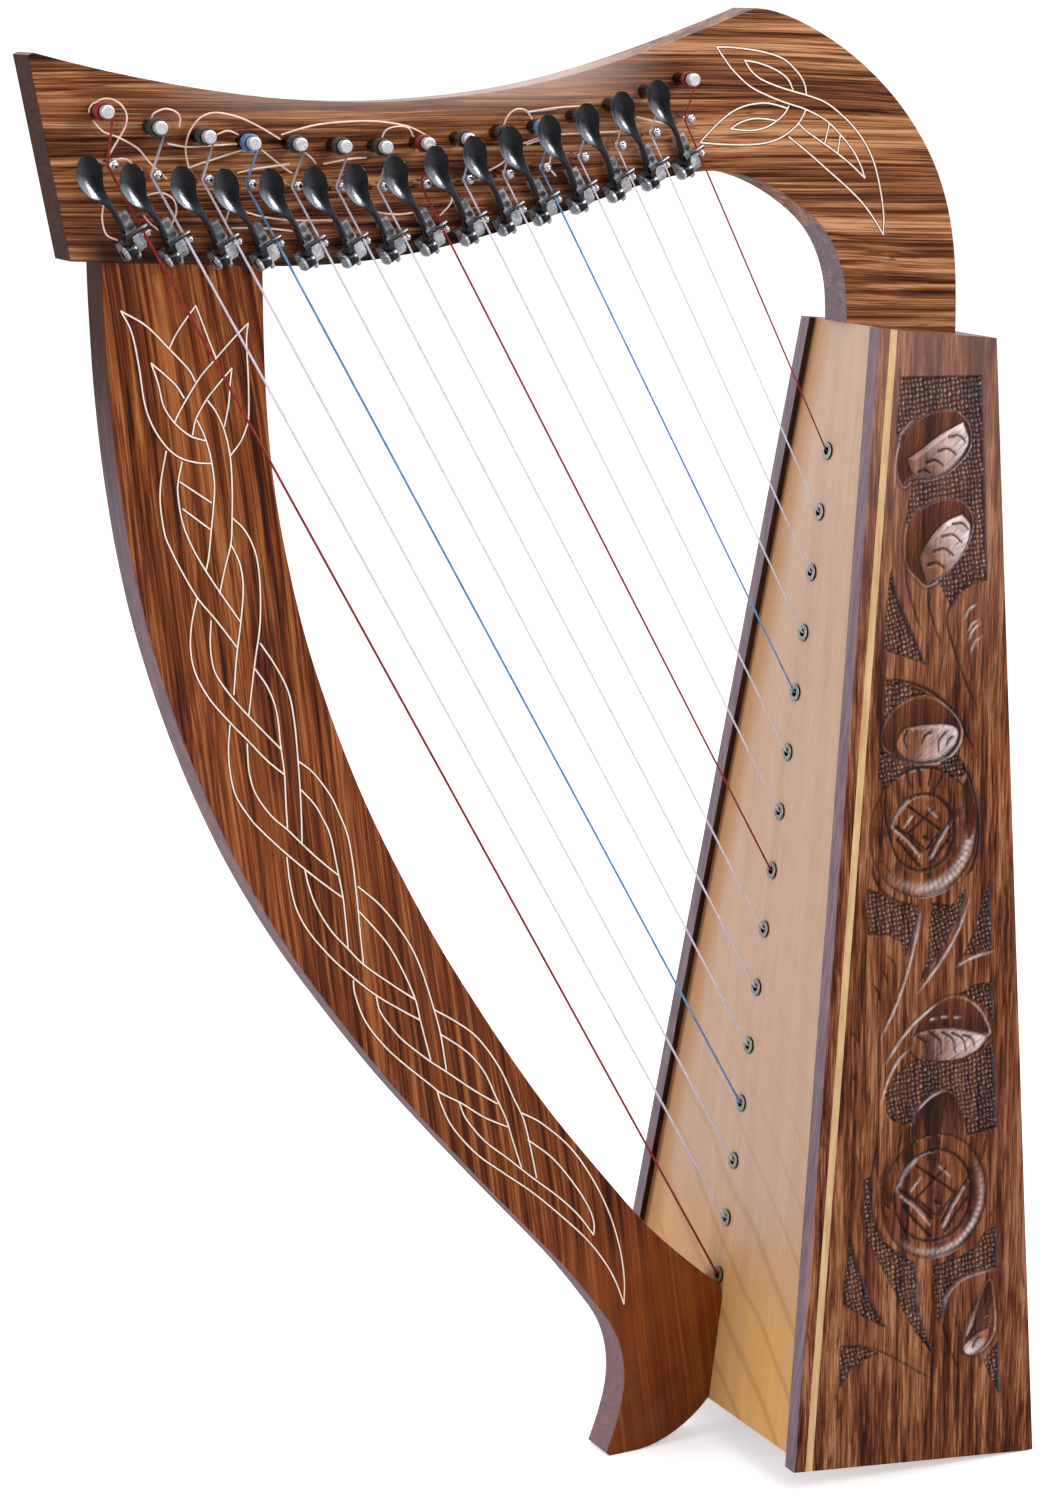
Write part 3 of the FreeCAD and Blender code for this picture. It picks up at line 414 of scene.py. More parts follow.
def gun_metal(name):
    """Black nickel: a soft pale sheen where it slopes up and to +X, the rest nearly black."""
    mat = Material(name)
    fine = mat.noise(mat.point, 900.0, 4.0, 0.6)
    x, y, z = mat.xyz(mat.node("TexCoord").outputs["Normal"])
    slope = mat.add(mat.mul(x, 0.62), mat.mul(z, 0.70))
    slope = mat.add(slope, mat.swing(fine, 0.10))
    colour = mat.ramp(mat.remap(slope, -0.30, 0.62), [
        (0.10, (0.020, 0.021, 0.025, 1.0)), (0.42, (0.075, 0.080, 0.090, 1.0)),
        (0.72, (0.30, 0.32, 0.36, 1.0)), (0.95, (0.62, 0.65, 0.72, 1.0))])
    # only faces turned to -Y take the sheen
    colour = mat.mix(mat.ease(y, -0.45, -0.80), (0.034, 0.036, 0.042, 1.0), colour)
    return mat.finish(Base_Color=colour, Metallic=1.0, Roughness=mat.spread(fine, 0.20, 0.30),
                      Normal=mat.bump(fine, 0.00003, 0.6), Coat_Weight=0.5)


def eyelet_metal(name):
    """Nickel ring; its sides and bore, all faces not turned to -X, take a painted shade nearly
    black.
    """
    mat = Material(name)
    fine = mat.noise(mat.point, 1500.0, 3.0)
    facing = mat.normal()[0]
    ring = mat.mix(mat.spread(fine), srgb(150, 152, 142), srgb(206, 208, 198))
    # painted shade on faces not turned to -X
    colour = mat.mix(mat.ease(facing, -0.70, -0.93), srgb(26, 24, 22), ring)
    return mat.finish(Base_Color=colour, Metallic=0.7, Roughness=mat.spread(fine, 0.2, 0.34),
                      Normal=mat.bump(fine, 0.00003, 0.5))


def pin_metal(name):
    """Dark shaft, bright polished end at -Y."""
    mat = Material(name)
    y = mat.xyz(mat.point)[1]
    fine = mat.noise(mat.point, 1200.0, 4.0)
    brushed = mat.grain(0, (900, 60, 900), 2.0)
    tip = mat.remap(y, -0.0153, -0.0157)
    dark = mat.mix(mat.spread(fine), srgb(64, 64, 60), srgb(104, 106, 100))
    bright = mat.mix(mat.spread(brushed), srgb(222, 224, 228), srgb(250, 250, 252))
    return mat.finish(Base_Color=mat.mix(tip, dark, bright),
                      Metallic=mat.remap(tip, 0.0, 1.0, 1.0, 0.6),
                      Roughness=mat.spread(fine, 0.2, 0.32),
                      Normal=mat.bump(brushed, 0.00003, 0.6))


chrome = metal("chrome", (0.86, 0.87, 0.89), roughness=0.10, mottle=0.06)
metal("nickel", (0.50, 0.50, 0.46), roughness=0.22, mottle=0.20)  # spare, on no piece
gunmetal = gun_metal("gunmetal")
plate_metal = metal("bracket_metal", (0.64, 0.72, 0.88), roughness=0.26, mottle=0.60,
                    metallic=0.72, scale=620.0)
ring_metal = eyelet_metal("eyelet_nickel")
screw_steel = metal("screw_steel", (0.42, 0.44, 0.47), roughness=0.22, mottle=0.25)
pin_steel = pin_metal("pin_steel")


# ---------------------------------------------------------------- nylon
def nylon(name, dark, light, roughness=0.3, coil=None, alpha=1.0):
    """coil: colour of the turns on the pin, where the strands lie over dark metal."""
    mat = Material(name)
    cloud = mat.noise(mat.point, 260.0, 3.0)
    colour = mat.mix(mat.spread(cloud), dark, light)
    if coil is not None:
        on_pin = mat.node("Attribute", attribute_name="coil").outputs["Fac"]
        colour = mat.mix(on_pin, colour, coil)
    return mat.finish(Base_Color=colour, Alpha=alpha, Normal=mat.bump(cloud, 0.00002, 0.5),
                      Roughness=mat.spread(cloud, roughness * 0.8, roughness * 1.2))


red_nylon = nylon("nylon_red", srgb(118, 16, 20), srgb(150, 28, 28))
blue_nylon = nylon("nylon_blue", srgb(64, 112, 168), srgb(104, 154, 202))
clear_nylon = nylon("nylon_clear", srgb(212, 208, 222), srgb(230, 226, 240), roughness=0.2,
                    coil=srgb(70, 70, 70), alpha=0.72)
tail_nylon = nylon("nylon_tail", srgb(232, 196, 178), srgb(248, 222, 208), roughness=0.25)

# ---------------------------------------------------------------- materials on the CAD pieces
NUMBERS = ["%02d" % number for number in range(1, 16)]
PAINT = [
    (neck_wood, "neck"), (pillar_wood, "pillar"), (board_wood, "soundboard"),
    (panel_wood, "side_panel_left side_panel_right"), (back_wood, "back_panel"),
    (block_wood, "top_block bottom_block"),
    (pale_wood, "floor_board string_rib front_liners back_liners back_braces"),
    (pale_wood, "neck_pillar_dowels neck_box_dowels pillar_foot_dowels"),
    (line_wood, "purfling_strips"), (ring_metal, "eyelets"), (clear_nylon, "string_knots"),
    (chrome, "bridge_pins fret_rods"), (plate_metal, "lever_brackets"),
    (screw_steel, "lever_screws lever_rivets"), (red_nylon, "strings_red"),
    (blue_nylon, "strings_blue"), (clear_nylon, "strings_clear"),
    (pin_steel, " ".join("tuning_pin_" + number for number in NUMBERS)),
    (gunmetal, " ".join("lever_" + number for number in NUMBERS)),
]
for material, pieces in PAINT:
    for piece in pieces.split():
        NODES[piece].data.materials.clear()
        NODES[piece].data.materials.append(material)


# ---------------------------------------------------------------- curves and meshes
def curves(text):
    """Point arrays from text: "x,z" pairs with blanks between, curves parted by semicolons."""
    return [np.array([[float(value) for value in pair.split(",")] for pair in row.split()])
            for row in text.split(";") if row.strip()]


def unit(vector):
    return vector / np.linalg.norm(vector)


def spline(points, step):
    """Uniform Catmull-Rom curve through the points; two points give a straight line."""
    points = np.array(points, float)
    if len(points) == 2:
        count = max(2, int(np.linalg.norm(points[1] - points[0]) / step) + 1)
        return points[0] + (points[1] - points[0]) * np.linspace(0, 1, count)[:, None]
    padded = np.vstack([2 * points[0] - points[1], points, 2 * points[-1] - points[-2]])
    out = []
    for i in range(1, len(padded) - 2):
        before, start, end, after = padded[i - 1:i + 3]
        count = max(2, int(np.linalg.norm(end - start) / step) + 1)
        t = np.linspace(0, 1, count, endpoint=False)[:, None]
        out.append(0.5 * ((2 * start) + (end - before) * t
                          + (2 * before - 5 * start + 4 * end - after) * t ** 2
                          + (3 * start - before - 3 * end + after) * t ** 3))
    out.append(points[-1:])
    return np.vstack(out)


def closed_curve(points, step=1.2):
    """One turn of a smooth loop through the points."""
    points = [tuple(p) for p in points]
    loop = spline(points[-2:] + points + points[:2], step)
    from_start = np.linalg.norm(loop - np.array(points[0]), axis=1)
    first = int(np.argmin(from_start))
    last = int(np.argmin(from_start[first + 3:])) + first + 3
    return loop[first:last]


def capped_faces(rings, segments):
    """Faces of rings in a row, with one centre vertex for each end listed after them."""
    faces = []
    for i in range(rings - 1):
        for k in range(segments):
            a, b = i * segments + k, i * segments + (k + 1) % segments
            faces.append((a, b, b + segments, a + segments))
    centre, last = rings * segments, (rings - 1) * segments
    for k in range(segments):
        following = (k + 1) % segments
        faces.append((centre, following, k))
        faces.append((centre + 1, last + k, last + following))
    return faces


def tube(path, radius, segments, flat=None):
    """Closed tube along a path. With flat, its size along Y is this share of the radius."""
    tangents = np.gradient(path, axis=0)
    tangents /= np.linalg.norm(tangents, axis=1)[:, None] + 1e-12
    y_axis = np.array([0.0, 1.0, 0.0])
    normal = y_axis
    if flat is None and abs(tangents[0] @ normal) > 0.9:
        normal = np.array([1.0, 0.0, 0.0])
    verts = []
    for point, tangent in zip(path, tangents):
        if flat is not None:
            normal = y_axis
        normal = unit(normal - (normal @ tangent) * tangent)
        across = np.cross(tangent, normal)
        for k in range(segments):
            angle = 2 * math.pi * k / segments
            verts.append(point + radius * (math.cos(angle) * normal * (flat or 1.0)
                                           + math.sin(angle) * across))
    verts.append(path[0] - tangents[0] * radius * 0.6)
    verts.append(path[-1] + tangents[-1] * radius * 0.6)
    return verts, capped_faces(len(path), segments)


def merged(parts):
    verts, faces = [], []
    for part_verts, part_faces in parts:
        base = len(verts)
        faces += [tuple(i + base for i in face) for face in part_faces]
        verts += list(part_verts)
    return verts, faces


def new_mesh(name, verts, faces, material, slot, body="harp_frame"):
    """Smooth-shaded object from vertices in metres, riding on a body."""
    mesh = bpy.data.meshes.new(name)
    mesh.from_pydata(np.asarray(verts, float).tolist(), [], faces)
    mesh.materials.append(material)
    mesh.polygons.foreach_set("use_smooth", np.ones(len(mesh.polygons), bool))
    mesh.validate()
    mesh.update()
    piece = bpy.data.objects.new(name, mesh)
    bpy.context.scene.collection.objects.link(piece)
    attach(piece, body)
    return piece


# ---------------------------------------------------------------- inlaid lines (x,z in mm)
# two tulips at the head of the pillar, then the knotwork down to its foot
PILLAR_LINES = curves("""
-171.8,500.9 -167.8,492.8 -165.3,480.6 -163.3,466.1 -160.3,457.2 -155.3,449.4 -149.8,444.6
-143.1,442.2 -136.7,441.4; -171.8,500.9 -162,495 -153.1,486.1 -145.3,477.8 -142.6,473;
-160.3,480.9 -157.6,472.8 -155.6,464.4 -151.4,457.8 -145.3,452.6 -139.2,450.3;
-160.3,480.9 -154.2,475.6 -150.3,471.7 -147.3,467;
-141.8,501.7 -146.4,496.1 -150.3,490.8 -152.9,486; -141.8,501.7 -140,497 -137.6,490.6 -134,481.4;
-120.6,494.1 -126.4,488.9 -134,481.4 -140.3,475 -145.9,467.2 -149.8,461.1 -151.4,457.8;
-120.6,494.1 -121.4,487.2 -120.9,471.7 -121.1,458.3 -122.2,454 -124.6,449 -128.7,444.1;
-127.6,477.4 -133.1,471.7 -138.1,466.1 -142.6,458.9 -144.2,452.8;
-127.6,477.4 -128.4,471.7 -129.2,463.9 -131.1,455.2;

-137.8,465.6 -134.2,460.6 -130.9,452.8 -128.9,442.8 -128.4,430.6 -128.7,419.4 -129.3,410.3
-132,400.6 -134.4,390.8;
-142.2,458.3 -139.2,451.7 -137,443.9 -135.7,433.9 -136.2,425 -137.6,413.9 -138.6,405.5 -139.9,400;
-155,447.4 -157.4,436.1 -157.9,427.2 -156.5,416.1 -154.2,409.8 -149.1,399.4 -143.2,389.4
-136.1,380.6 -127.4,368.9;
-148.7,442.8 -150.3,436.1 -150.7,430.6 -149,419.4 -145.2,409.6 -140.2,400.6 -133.8,390.6
-126.1,379.2; -149.8,435.2 -137,426.3; -148.9,424.8 -137.8,416.1;
-128.7,420 -124.2,415.6 -120.8,409.8 -118.5,402.4 -117.5,391.2 -117.9,377.1 -120.2,362.9
-121.8,352 -123.2,341.8;
-129.6,410 -127.6,406.2 -125.5,400.6 -124.6,392 -125.8,379.4 -127.9,365.3 -129.3,350.6;
-143.8,389.8 -146.3,379.4 -146.8,368.8 -144.6,359.4 -139.1,349.4 -130.8,339.4 -123.2,331.2
-116,323.2 -108.8,316.8;
-138.2,380.6 -138.7,371.2 -137.5,361.8 -134.2,355.3 -128.5,347.6 -120.8,338.8 -110,327.1;
-117.9,370 -111.4,360 -106.3,349.4 -104.1,338.2 -102.9,325.3 -102,310 -101.6,299.4 -101.5,288.1;
-120.2,360 -114.9,351.8 -111.4,341.8 -110,328.8 -108.5,316.4 -108.1,304.1 -107.6,294.8;
-131.2,338.8 -132,328.8 -131.4,319.4 -129.1,310 -123.2,300.3 -118.1,294.4 -110,286.2 -100,276.9
-92,270 -84.4,263.8;
-124.1,330.6 -123.5,319.4 -120.8,310 -114.4,300.6 -107.6,294.2 -102.5,288.8 -95,281.2 -86,273.1;
-102.2,321.2 -96.1,315.9 -89.1,306.3 -85.4,298.5 -81.9,289.6 -79.8,278.8 -78.5,267.5 -77.5,257.5
-76.5,246 -75.4,235;
-101.8,310 -95.9,303.2 -92.5,297.2 -89.2,289.6 -86.2,275 -84.1,263.8 -82.9,252.5 -82.1,242.5;
-108.1,283.1 -106.9,272.5 -104.4,261.8 -99.4,251.9 -90,240 -79.4,229.4 -70,221.2 -60,214.2
-50.2,207.8;
-100.4,276.9 -98.8,270 -95.6,261.2 -89.4,250.6 -81.9,241.9 -75,234.4 -62.5,224.4 -52.8,217.2;
-77.5,267.5 -66.9,257.5 -56.4,243.1 -50,230 -44.4,212.5 -41.2,200.4 -38.7,185;
-77.5,257.5 -70,248.8 -63.8,240.6 -57.5,228.8 -52.5,216.9 -50,206.5 -45.8,190.3;
-80,228.8 -79.2,222.5 -75,211.2 -67,199.9 -58.2,190.8 -47,180.7 -41.3,175.6 -32,169.8
-21.3,162 -10.7,156.3;
-70,220.6 -68.1,213.8 -62.5,205.6 -57,199.4 -46.6,190.3 -38.7,184.3 -26.7,174.9 -15.4,167;
-44,211.5 -35,205.6 -26.6,199 -19.8,190.9 -13.3,180.5 -8,168.7 -3.3,158.5 0,145.6 2.9,131.7;
-41.2,200.6 -33,194.6 -26.8,188.9 -21,181 -16,170 -11.3,159.6 -8,149 -4.3,137.6;
-42.9,176.7 -41.1,170.7 -36,160 -25.3,147 -13.3,137 0,126.5 12,115.5 26.7,100.6 36,88
41.2,78.2 44.9,68;
-33.1,170.7 -29.8,162.7 -21.3,151.8 -10.7,142.6 0,133 13.3,121.6 22.7,112 30,102;
-4,161.3 5.3,155.3 18.7,142.7 29.3,127.2 37.3,110.9 42.5,94.7 44.9,80 44.9,68;
-1.3,149.3 10.7,138.9 21.1,125.5 27.6,114.7 30.2,107.2 30,102
""")
# leaves on the shoulder of the neck
NECK_LINES = curves("""
83.6,594.9 92.2,594.5 104.1,592.9 114.6,589.9 121.6,584.4 124.9,579.8 126,575.3;
83.6,594.9 87.3,590.2 92.3,584.7 99.8,578.9 108.1,575.2 116.4,572.3 125.5,569.6 135.5,564.9
143.1,558.5 148.8,552.4 152.6,546.4 154.8,541.1;
96.7,589.5 104.2,588.1 111.7,585.3 117,581.8 119.6,577.4;
96.7,589.5 99.7,585.4 104.3,582 111.8,579.1 120.1,576.7 126,575.2 134.6,572.4 142.3,567.5
149.4,561.4 154.9,554.8 159.2,546.9 162.4,536.4 164.3,525.9 164.4,517.5;
164.4,517.5 160.2,523.6 154,530.8 146.1,537.7 136.7,544.9 128.9,550.9 122.8,555.3 117.9,558.7;
154.8,541.1 147.4,547.2 139.6,552.6 131.9,557.3 125.7,561.2 122.4,564;
76.4,557.3 82.3,562.8 89.6,568.3 97,571.4 105.9,572.4 112.4,571.4 117.2,570;
76.4,557.3 86.8,556.4 98.7,556 107.7,556.6 115.2,558.9 121.1,562.8 124.2,566.4 125.8,569.4;
90.4,562.4 95.6,565.1 101.5,566.3 107.5,566 112,565.2;
90.4,562.4 100.1,561.6 107.6,562.9 113.3,566 116.3,568.7 117.7,571;
137.1,563.4 135,555.4; 142.5,558.9 141.4,551.4
""")
NECK_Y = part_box("neck")[0].y / MM      # near faces
PILLAR_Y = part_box("pillar")[0].y / MM


def inlay(name, lines, y):
    """Cream lines standing a little proud, each on a wider dark strip, a painted shadow line."""
    paths = []
    for line in lines:
        x, z = spline(line, 0.9).T
        paths.append(np.stack([x, np.full(len(x), y), z], 1) * MM)
    # the wider dark strip is a painted shadow line round each cream line
    for suffix, radius, flat, material, slot in (("", 0.36, 0.36, inlay_wood, "maple"),
                                                 ("_painted_shadow", 0.62, 0.10, inlay_shadow_material, "rosewood")):
        parts = [tube(path, radius * MM, 8, flat) for path in paths]
        new_mesh(name + suffix, *merged(parts), material, slot)


inlay("pillar_inlay", PILLAR_LINES, PILLAR_Y)
inlay("neck_inlay", NECK_LINES, NECK_Y)

# ---------------------------------------------------------------- soundbox side outline (mm)
FRONT_FOOT, FRONT_HEAD = np.array((84.1, 13.4)), np.array((146.9, 481.9))
BACK_HEAD, BACK_FOOT = np.array((205.1, 475.3)), np.array((205.1, 0.0))
FOOT_HALF_WIDTH, HEAD_HALF_WIDTH = 82.0, 31.0
BOARD_LENGTH = np.linalg.norm(FRONT_HEAD - FRONT_FOOT)
BOARD_UP = (FRONT_HEAD - FRONT_FOOT) / BOARD_LENGTH     # along the soundboard
BOARD_IN = np.array((BOARD_UP[1], -BOARD_UP[0]))        # square to it, into the box
FOOT_SLOPE_UP = (BACK_FOOT - FRONT_FOOT) @ BOARD_UP
FOOT_SLOPE_IN = (BACK_FOOT - FRONT_FOOT) @ BOARD_IN


def half_width(x, z):
    x, z = x - FRONT_FOOT[0], z - FRONT_FOOT[1]
    up = x * BOARD_UP[0] + z * BOARD_UP[1]
    depth = x * BOARD_IN[0] + z * BOARD_IN[1]
    share = (up - depth * FOOT_SLOPE_UP / FOOT_SLOPE_IN) / BOARD_LENGTH
    return FOOT_HALF_WIDTH + (HEAD_HALF_WIDTH - FOOT_HALF_WIDTH) * share


def board_point(up, depth):
    return FRONT_FOOT + up * BOARD_UP + depth * BOARD_IN


# ---------------------------------------------------------------- distances for the carving
def segment_distance(x, z, start, along):
    """Distance to a segment, and the share of its length at the closest point."""
    t = ((x - start[0]) * along[0] + (z - start[1]) * along[1]) / (along @ along + 1e-12)
    t = np.clip(t, 0, 1)
    return np.hypot(x - start[0] - t * along[0], z - start[1] - t * along[1]), t


def outline_distance(x, z, outline):
    """Signed distance to a closed polygon, negative inside."""
    distance = np.full(x.shape, 1e9)
    inside = np.zeros(x.shape, bool)
    for start, end in zip(outline, np.roll(outline, -1, axis=0)):
        along = end - start
        distance = np.minimum(distance, segment_distance(x, z, start, along)[0])
        crosses = (start[1] > z) != (end[1] > z)
        rise = along[1] if along[1] != 0 else 1e-12
        inside ^= crosses & (x < start[0] + (z - start[1]) * along[0] / rise)
    return np.where(inside, -distance, distance)


def line_distance(x, z, points):
    """Distance to a polyline, and the share of its length at the closest point."""
    lengths = np.linalg.norm(np.diff(points, axis=0), axis=1)
    travelled = np.concatenate([[0], np.cumsum(lengths)])
    distance, share = np.full(x.shape, 1e9), np.zeros(x.shape)
    for i, length in enumerate(lengths):
        gap, t = segment_distance(x, z, points[i], points[i + 1] - points[i])
        closer = gap < distance
        distance = np.where(closer, gap, distance)
        share = np.where(closer, (travelled[i] + t * length) / travelled[-1], share)
    return distance, share


def smoothstep(low, high, value):
    t = np.clip((value - low) / (high - low), 0, 1)
    return t * t * (3 - 2 * t)


def ridge(distance, width):
    return np.exp(-(distance / width) ** 2)


def across_shape(x, z, outline, direction):
    """-1 to 1 across an outline in a direction."""
    centre = outline.mean(0)
    reach = np.abs((outline - centre) @ direction).max()
    return ((x - centre[0]) * direction[0] + (z - centre[1]) * direction[1]) / reach


# heart of a rose, in shares of its ring radius: cuts (width, line) and lips (painted highlight,
# width, line)
ROSE_CUTS = [
    (0.55, "-0.42,0.72 0.55,-0.02"), (0.55, "0.30,0.55 -0.46,0.02"),
    (0.55, "-0.46,0.02 -0.02,-0.42"), (0.55, "0.55,-0.02 0.08,-0.46"),
    (0.8, "-0.92,0.30 -0.45,-0.08 -0.08,-0.5"), (0.7, "-0.8,-0.1 -0.5,-0.48 -0.12,-0.9"),
    (0.8, "0.92,0.22 0.5,-0.15 0.18,-0.62"), (0.7, "0.86,-0.2 0.55,-0.5 0.25,-0.85"),
    (0.9, "0.02,-0.12 0.1,-0.2")]
ROSE_LIPS = [
    (0.55, 0.5, "-0.35,0.45 -0.6,0.2"), (0.35, 0.5, "0.15,0.62 0.42,0.35"),
    (0.5, 0.5, "-0.86,0.12 -0.5,-0.2 -0.16,-0.62"), (0.55, 0.5, "0.78,0.05 0.48,-0.3 0.2,-0.72"),
    (0.4, 0.9, "-0.95,0.25 -0.8,0.55 -0.45,0.85")]


class Relief:
    """Carving over a grid of (x, z): depth below the face in mm, and three colour masks: painted
    shade, painted highlight, warm tint.
    """
    def __init__(self, x, z):
        self.x, self.z = x, z
        self.depth, self.dark, self.gloss, self.warm = (np.zeros_like(x) for _ in range(4))

    def around(self, points, pad=3.0):
        """Grid indices near the points, with their x and z."""
        left, low = points.min(0) - pad
        right, high = points.max(0) + pad
        near = np.nonzero((self.x > left) & (self.x < right) & (self.z > low) & (self.z < high))
        return near, self.x[near], self.z[near]

    def lay(self, near, mask, depth, dark, gloss=0.0, warm=0.0):
        """Replace what lies under the mask."""
        for field, value in ((self.depth, depth), (self.dark, dark),
                             (self.gloss, gloss), (self.warm, warm)):
            field[near] = field[near] * (1 - mask) + value * mask

    # painted shade
    def darken(self, near, amount):
        self.dark[near] = np.maximum(self.dark[near], amount)

    # painted highlight
    def brighten(self, near, amount):
        self.gloss[near] = np.maximum(self.gloss[near], amount)

    def stipple(self, text, tilt=0.10, floor=1.7, pitch=1.95):
        """Sunk ground with rows of uneven round bumps, painted shade between them and along the
        border, a painted highlight on their tops.
        """
        outline = curves(text)[0]
        near, x, z = self.around(outline)
        distance = outline_distance(x, z, outline)
        mask = smoothstep(0.35, -0.55, distance)
        sway = (0.35 * np.sin(z * 0.31 + 1.0) + 0.3 * np.sin(x * 0.43)
                + 0.16 * np.sin(x * 1.31 + z * 0.83) + 0.12 * np.sin(z * 1.73 - x * 0.57 + 2.1))
        sway_z = (0.16 * np.sin(x * 1.13 + z * 0.29 + 0.4)
                  + 0.12 * np.sin(z * 1.47 + x * 0.91 + 1.3))
        column = (x + tilt * z + sway) * 2 * math.pi / pitch
        row = (z * 0.97 - tilt * x + 0.5 * sway + sway_z) * 2 * math.pi / (pitch * 1.04)
        bump = (np.clip(0.5 + 0.5 * np.cos(column), 0, 1)
                * np.clip(0.5 + 0.5 * np.cos(row), 0, 1))
        # a fixed pseudo-random height for each bump
        scatter = np.sin(np.floor(column / 2 / math.pi + 0.5) * 12.9898
                         + np.floor(row / 2 / math.pi + 0.5) * 78.233) * 437.585
        bump = bump ** 0.65 * (0.70 + 0.30 * (scatter - np.floor(scatter)))
        before = self.depth[near]
        self.lay(near, mask, floor - 1.15 * bump, np.clip(0.84 - 1.15 * bump, 0, 0.78),
                 0.40 * smoothstep(0.50, 0.88, bump))
        self.depth[near] = np.where(mask > 0.01, self.depth[near], before)
        self.darken(near, 0.75 * smoothstep(0.9, 0.0, np.abs(distance + 0.2)))

    def hollow(self, text, axis, depth=1.3, warm=1.0, rim=True):
        """Scooped shape, deepest and with the most painted shade towards the axis direction; the rim
        has a painted highlight and painted shade just outside it.
        """
        outline = closed_curve(curves(text)[0])
        near, x, z = self.around(outline)
        distance = outline_distance(x, z, outline)
        slope = across_shape(x, z, outline, np.array(axis))
        scoop = depth * (0.45 + 0.5 * np.clip(slope, -1, 1))
        scoop = scoop * np.clip(-distance / 3.0, 0, 1) ** 0.5 + 0.15
        streak = (0.16 * np.sin(x * 2.9 + np.sin(z * 0.7) * 1.5)
                  * np.sin(z * 0.45 + x * 0.8))
        dark = np.clip(0.54 + 0.36 * slope + streak, 0.08, 0.90)
        self.lay(near, smoothstep(0.2, -0.8, distance), scoop, dark, warm=warm)
        if rim:
            centre = outline.mean(0)
            angle = np.arctan2(z - centre[1], x - centre[0])
            lit = np.clip(0.25 + 0.75 * np.cos(angle + 0.5), 0.12, 1)
            self.brighten(near, 0.42 * smoothstep(0.65, 0.15, np.abs(distance - 0.1)) * lit)
            self.darken(near, 0.45 * smoothstep(0.9, 0.2, np.abs(distance - 1.2)))

    def leaf(self, text, veins, toward, gloss, rounding=3.5, vein_width=0.66, tips=()):
        """Domed leaf, glossier and with a painted highlight in one direction, painted shade in its
        veins and round it. Points numbered in tips stay sharp.
        """
        crown, border = 0.2, 1.5
        points = curves(text)[0]
        count = len(points)
        start = next(i for i in range(count) if i not in tips)
        knots = []
        for i in range(count):
            index = (start + i) % count
            knots += [points[index]] * (2 if index in tips else 1)
        outline = closed_curve(knots)
        near, x, z = self.around(outline)
        distance = outline_distance(x, z, outline)
        mask = smoothstep(0.15, -0.35, distance)
        rise = np.clip(-distance / rounding, 0, 1)
        depth = border - (border - crown) * np.sqrt(np.clip(1 - (1 - rise) ** 2, 0, 1))
        slope = across_shape(x, z, outline, unit(np.array(toward)))
        shine = gloss * np.clip(0.36 + 0.80 * slope, 0.03, 1)
        dark = np.zeros_like(x)
        for first, last in curves(veins):
            along = last - first
            bow = 0.20 * np.array((-along[1], along[0])) * (1 if along[0] > 0 else -1)
            vein = spline([first, (first + last) / 2 + bow, last], 0.8)
            gap, share = line_distance(x, z, vein)
            cut = ridge(gap, vein_width * (1 - 0.55 * share))
            depth = depth + 1.1 * cut
            shine = shine * (1 - cut)
            dark = np.maximum(dark, cut * 0.95)
        self.lay(near, mask, depth, dark, shine)
        self.darken(near, 0.8 * smoothstep(0.8, 0.1, np.abs(distance - 0.5)) * (1 - mask))

    def grooves(self, text, width, depth, dark, light=0.0, side=1.0):
        """Lines tapering to both ends, with painted shade in the cut; light adds a raised edge with
        a painted highlight beside them.
        """
        for line in curves(text):
            line = spline(line, 1.0)
            near, x, z = self.around(line)
            distance, share = line_distance(x, z, line)
            taper = np.clip(np.minimum(share, 1 - share) * 6, 0.25, 1)
            cut = ridge(distance, width * taper)
            self.depth[near] += depth * cut * taper
            self.darken(near, dark * cut)
            if light:
                beside = line + np.array([0.9 * side, -0.5 * side])
                lip = ridge(line_distance(x, z, beside)[0], 0.5) * taper
                self.brighten(near, light * lip)
                self.dark[near] *= (1 - 0.8 * lip)
                self.depth[near] -= 0.25 * lip

    def rose(self, centre_x, centre_z, ring_radius, radius):
        """Round flower: crossed heart in a ring, petals, a painted highlight on the lip towards +X
        and down, painted shade in the cuts and round the border.
        """
        centre = np.array((centre_x, centre_z))
        near, x, z = self.around(np.array([centre - radius - 2, centre + radius + 2]))
        x, z = x - centre_x, z - centre_z
        r, angle = np.hypot(x, z), np.arctan2(z, x)
        heart = smoothstep(ring_radius + 0.3, ring_radius - 0.5, r)
        depth = 0.25 + 1.0 * (r / ring_radius) ** 2 * 0.7
        dark, gloss = np.zeros_like(r), np.zeros_like(r)
        for width, line in ROSE_CUTS:
            cut = ridge(line_distance(x, z, curves(line)[0] * ring_radius)[0], width)
            depth = depth + 0.9 * cut
            dark = np.maximum(dark, cut)
        for shine, width, line in ROSE_LIPS:
            lip = ridge(line_distance(x, z, curves(line)[0] * ring_radius)[0], width)
            gloss = np.maximum(gloss, shine * lip)
            depth = depth - 0.3 * lip
        ring = ridge(np.abs(r - ring_radius), 0.7)
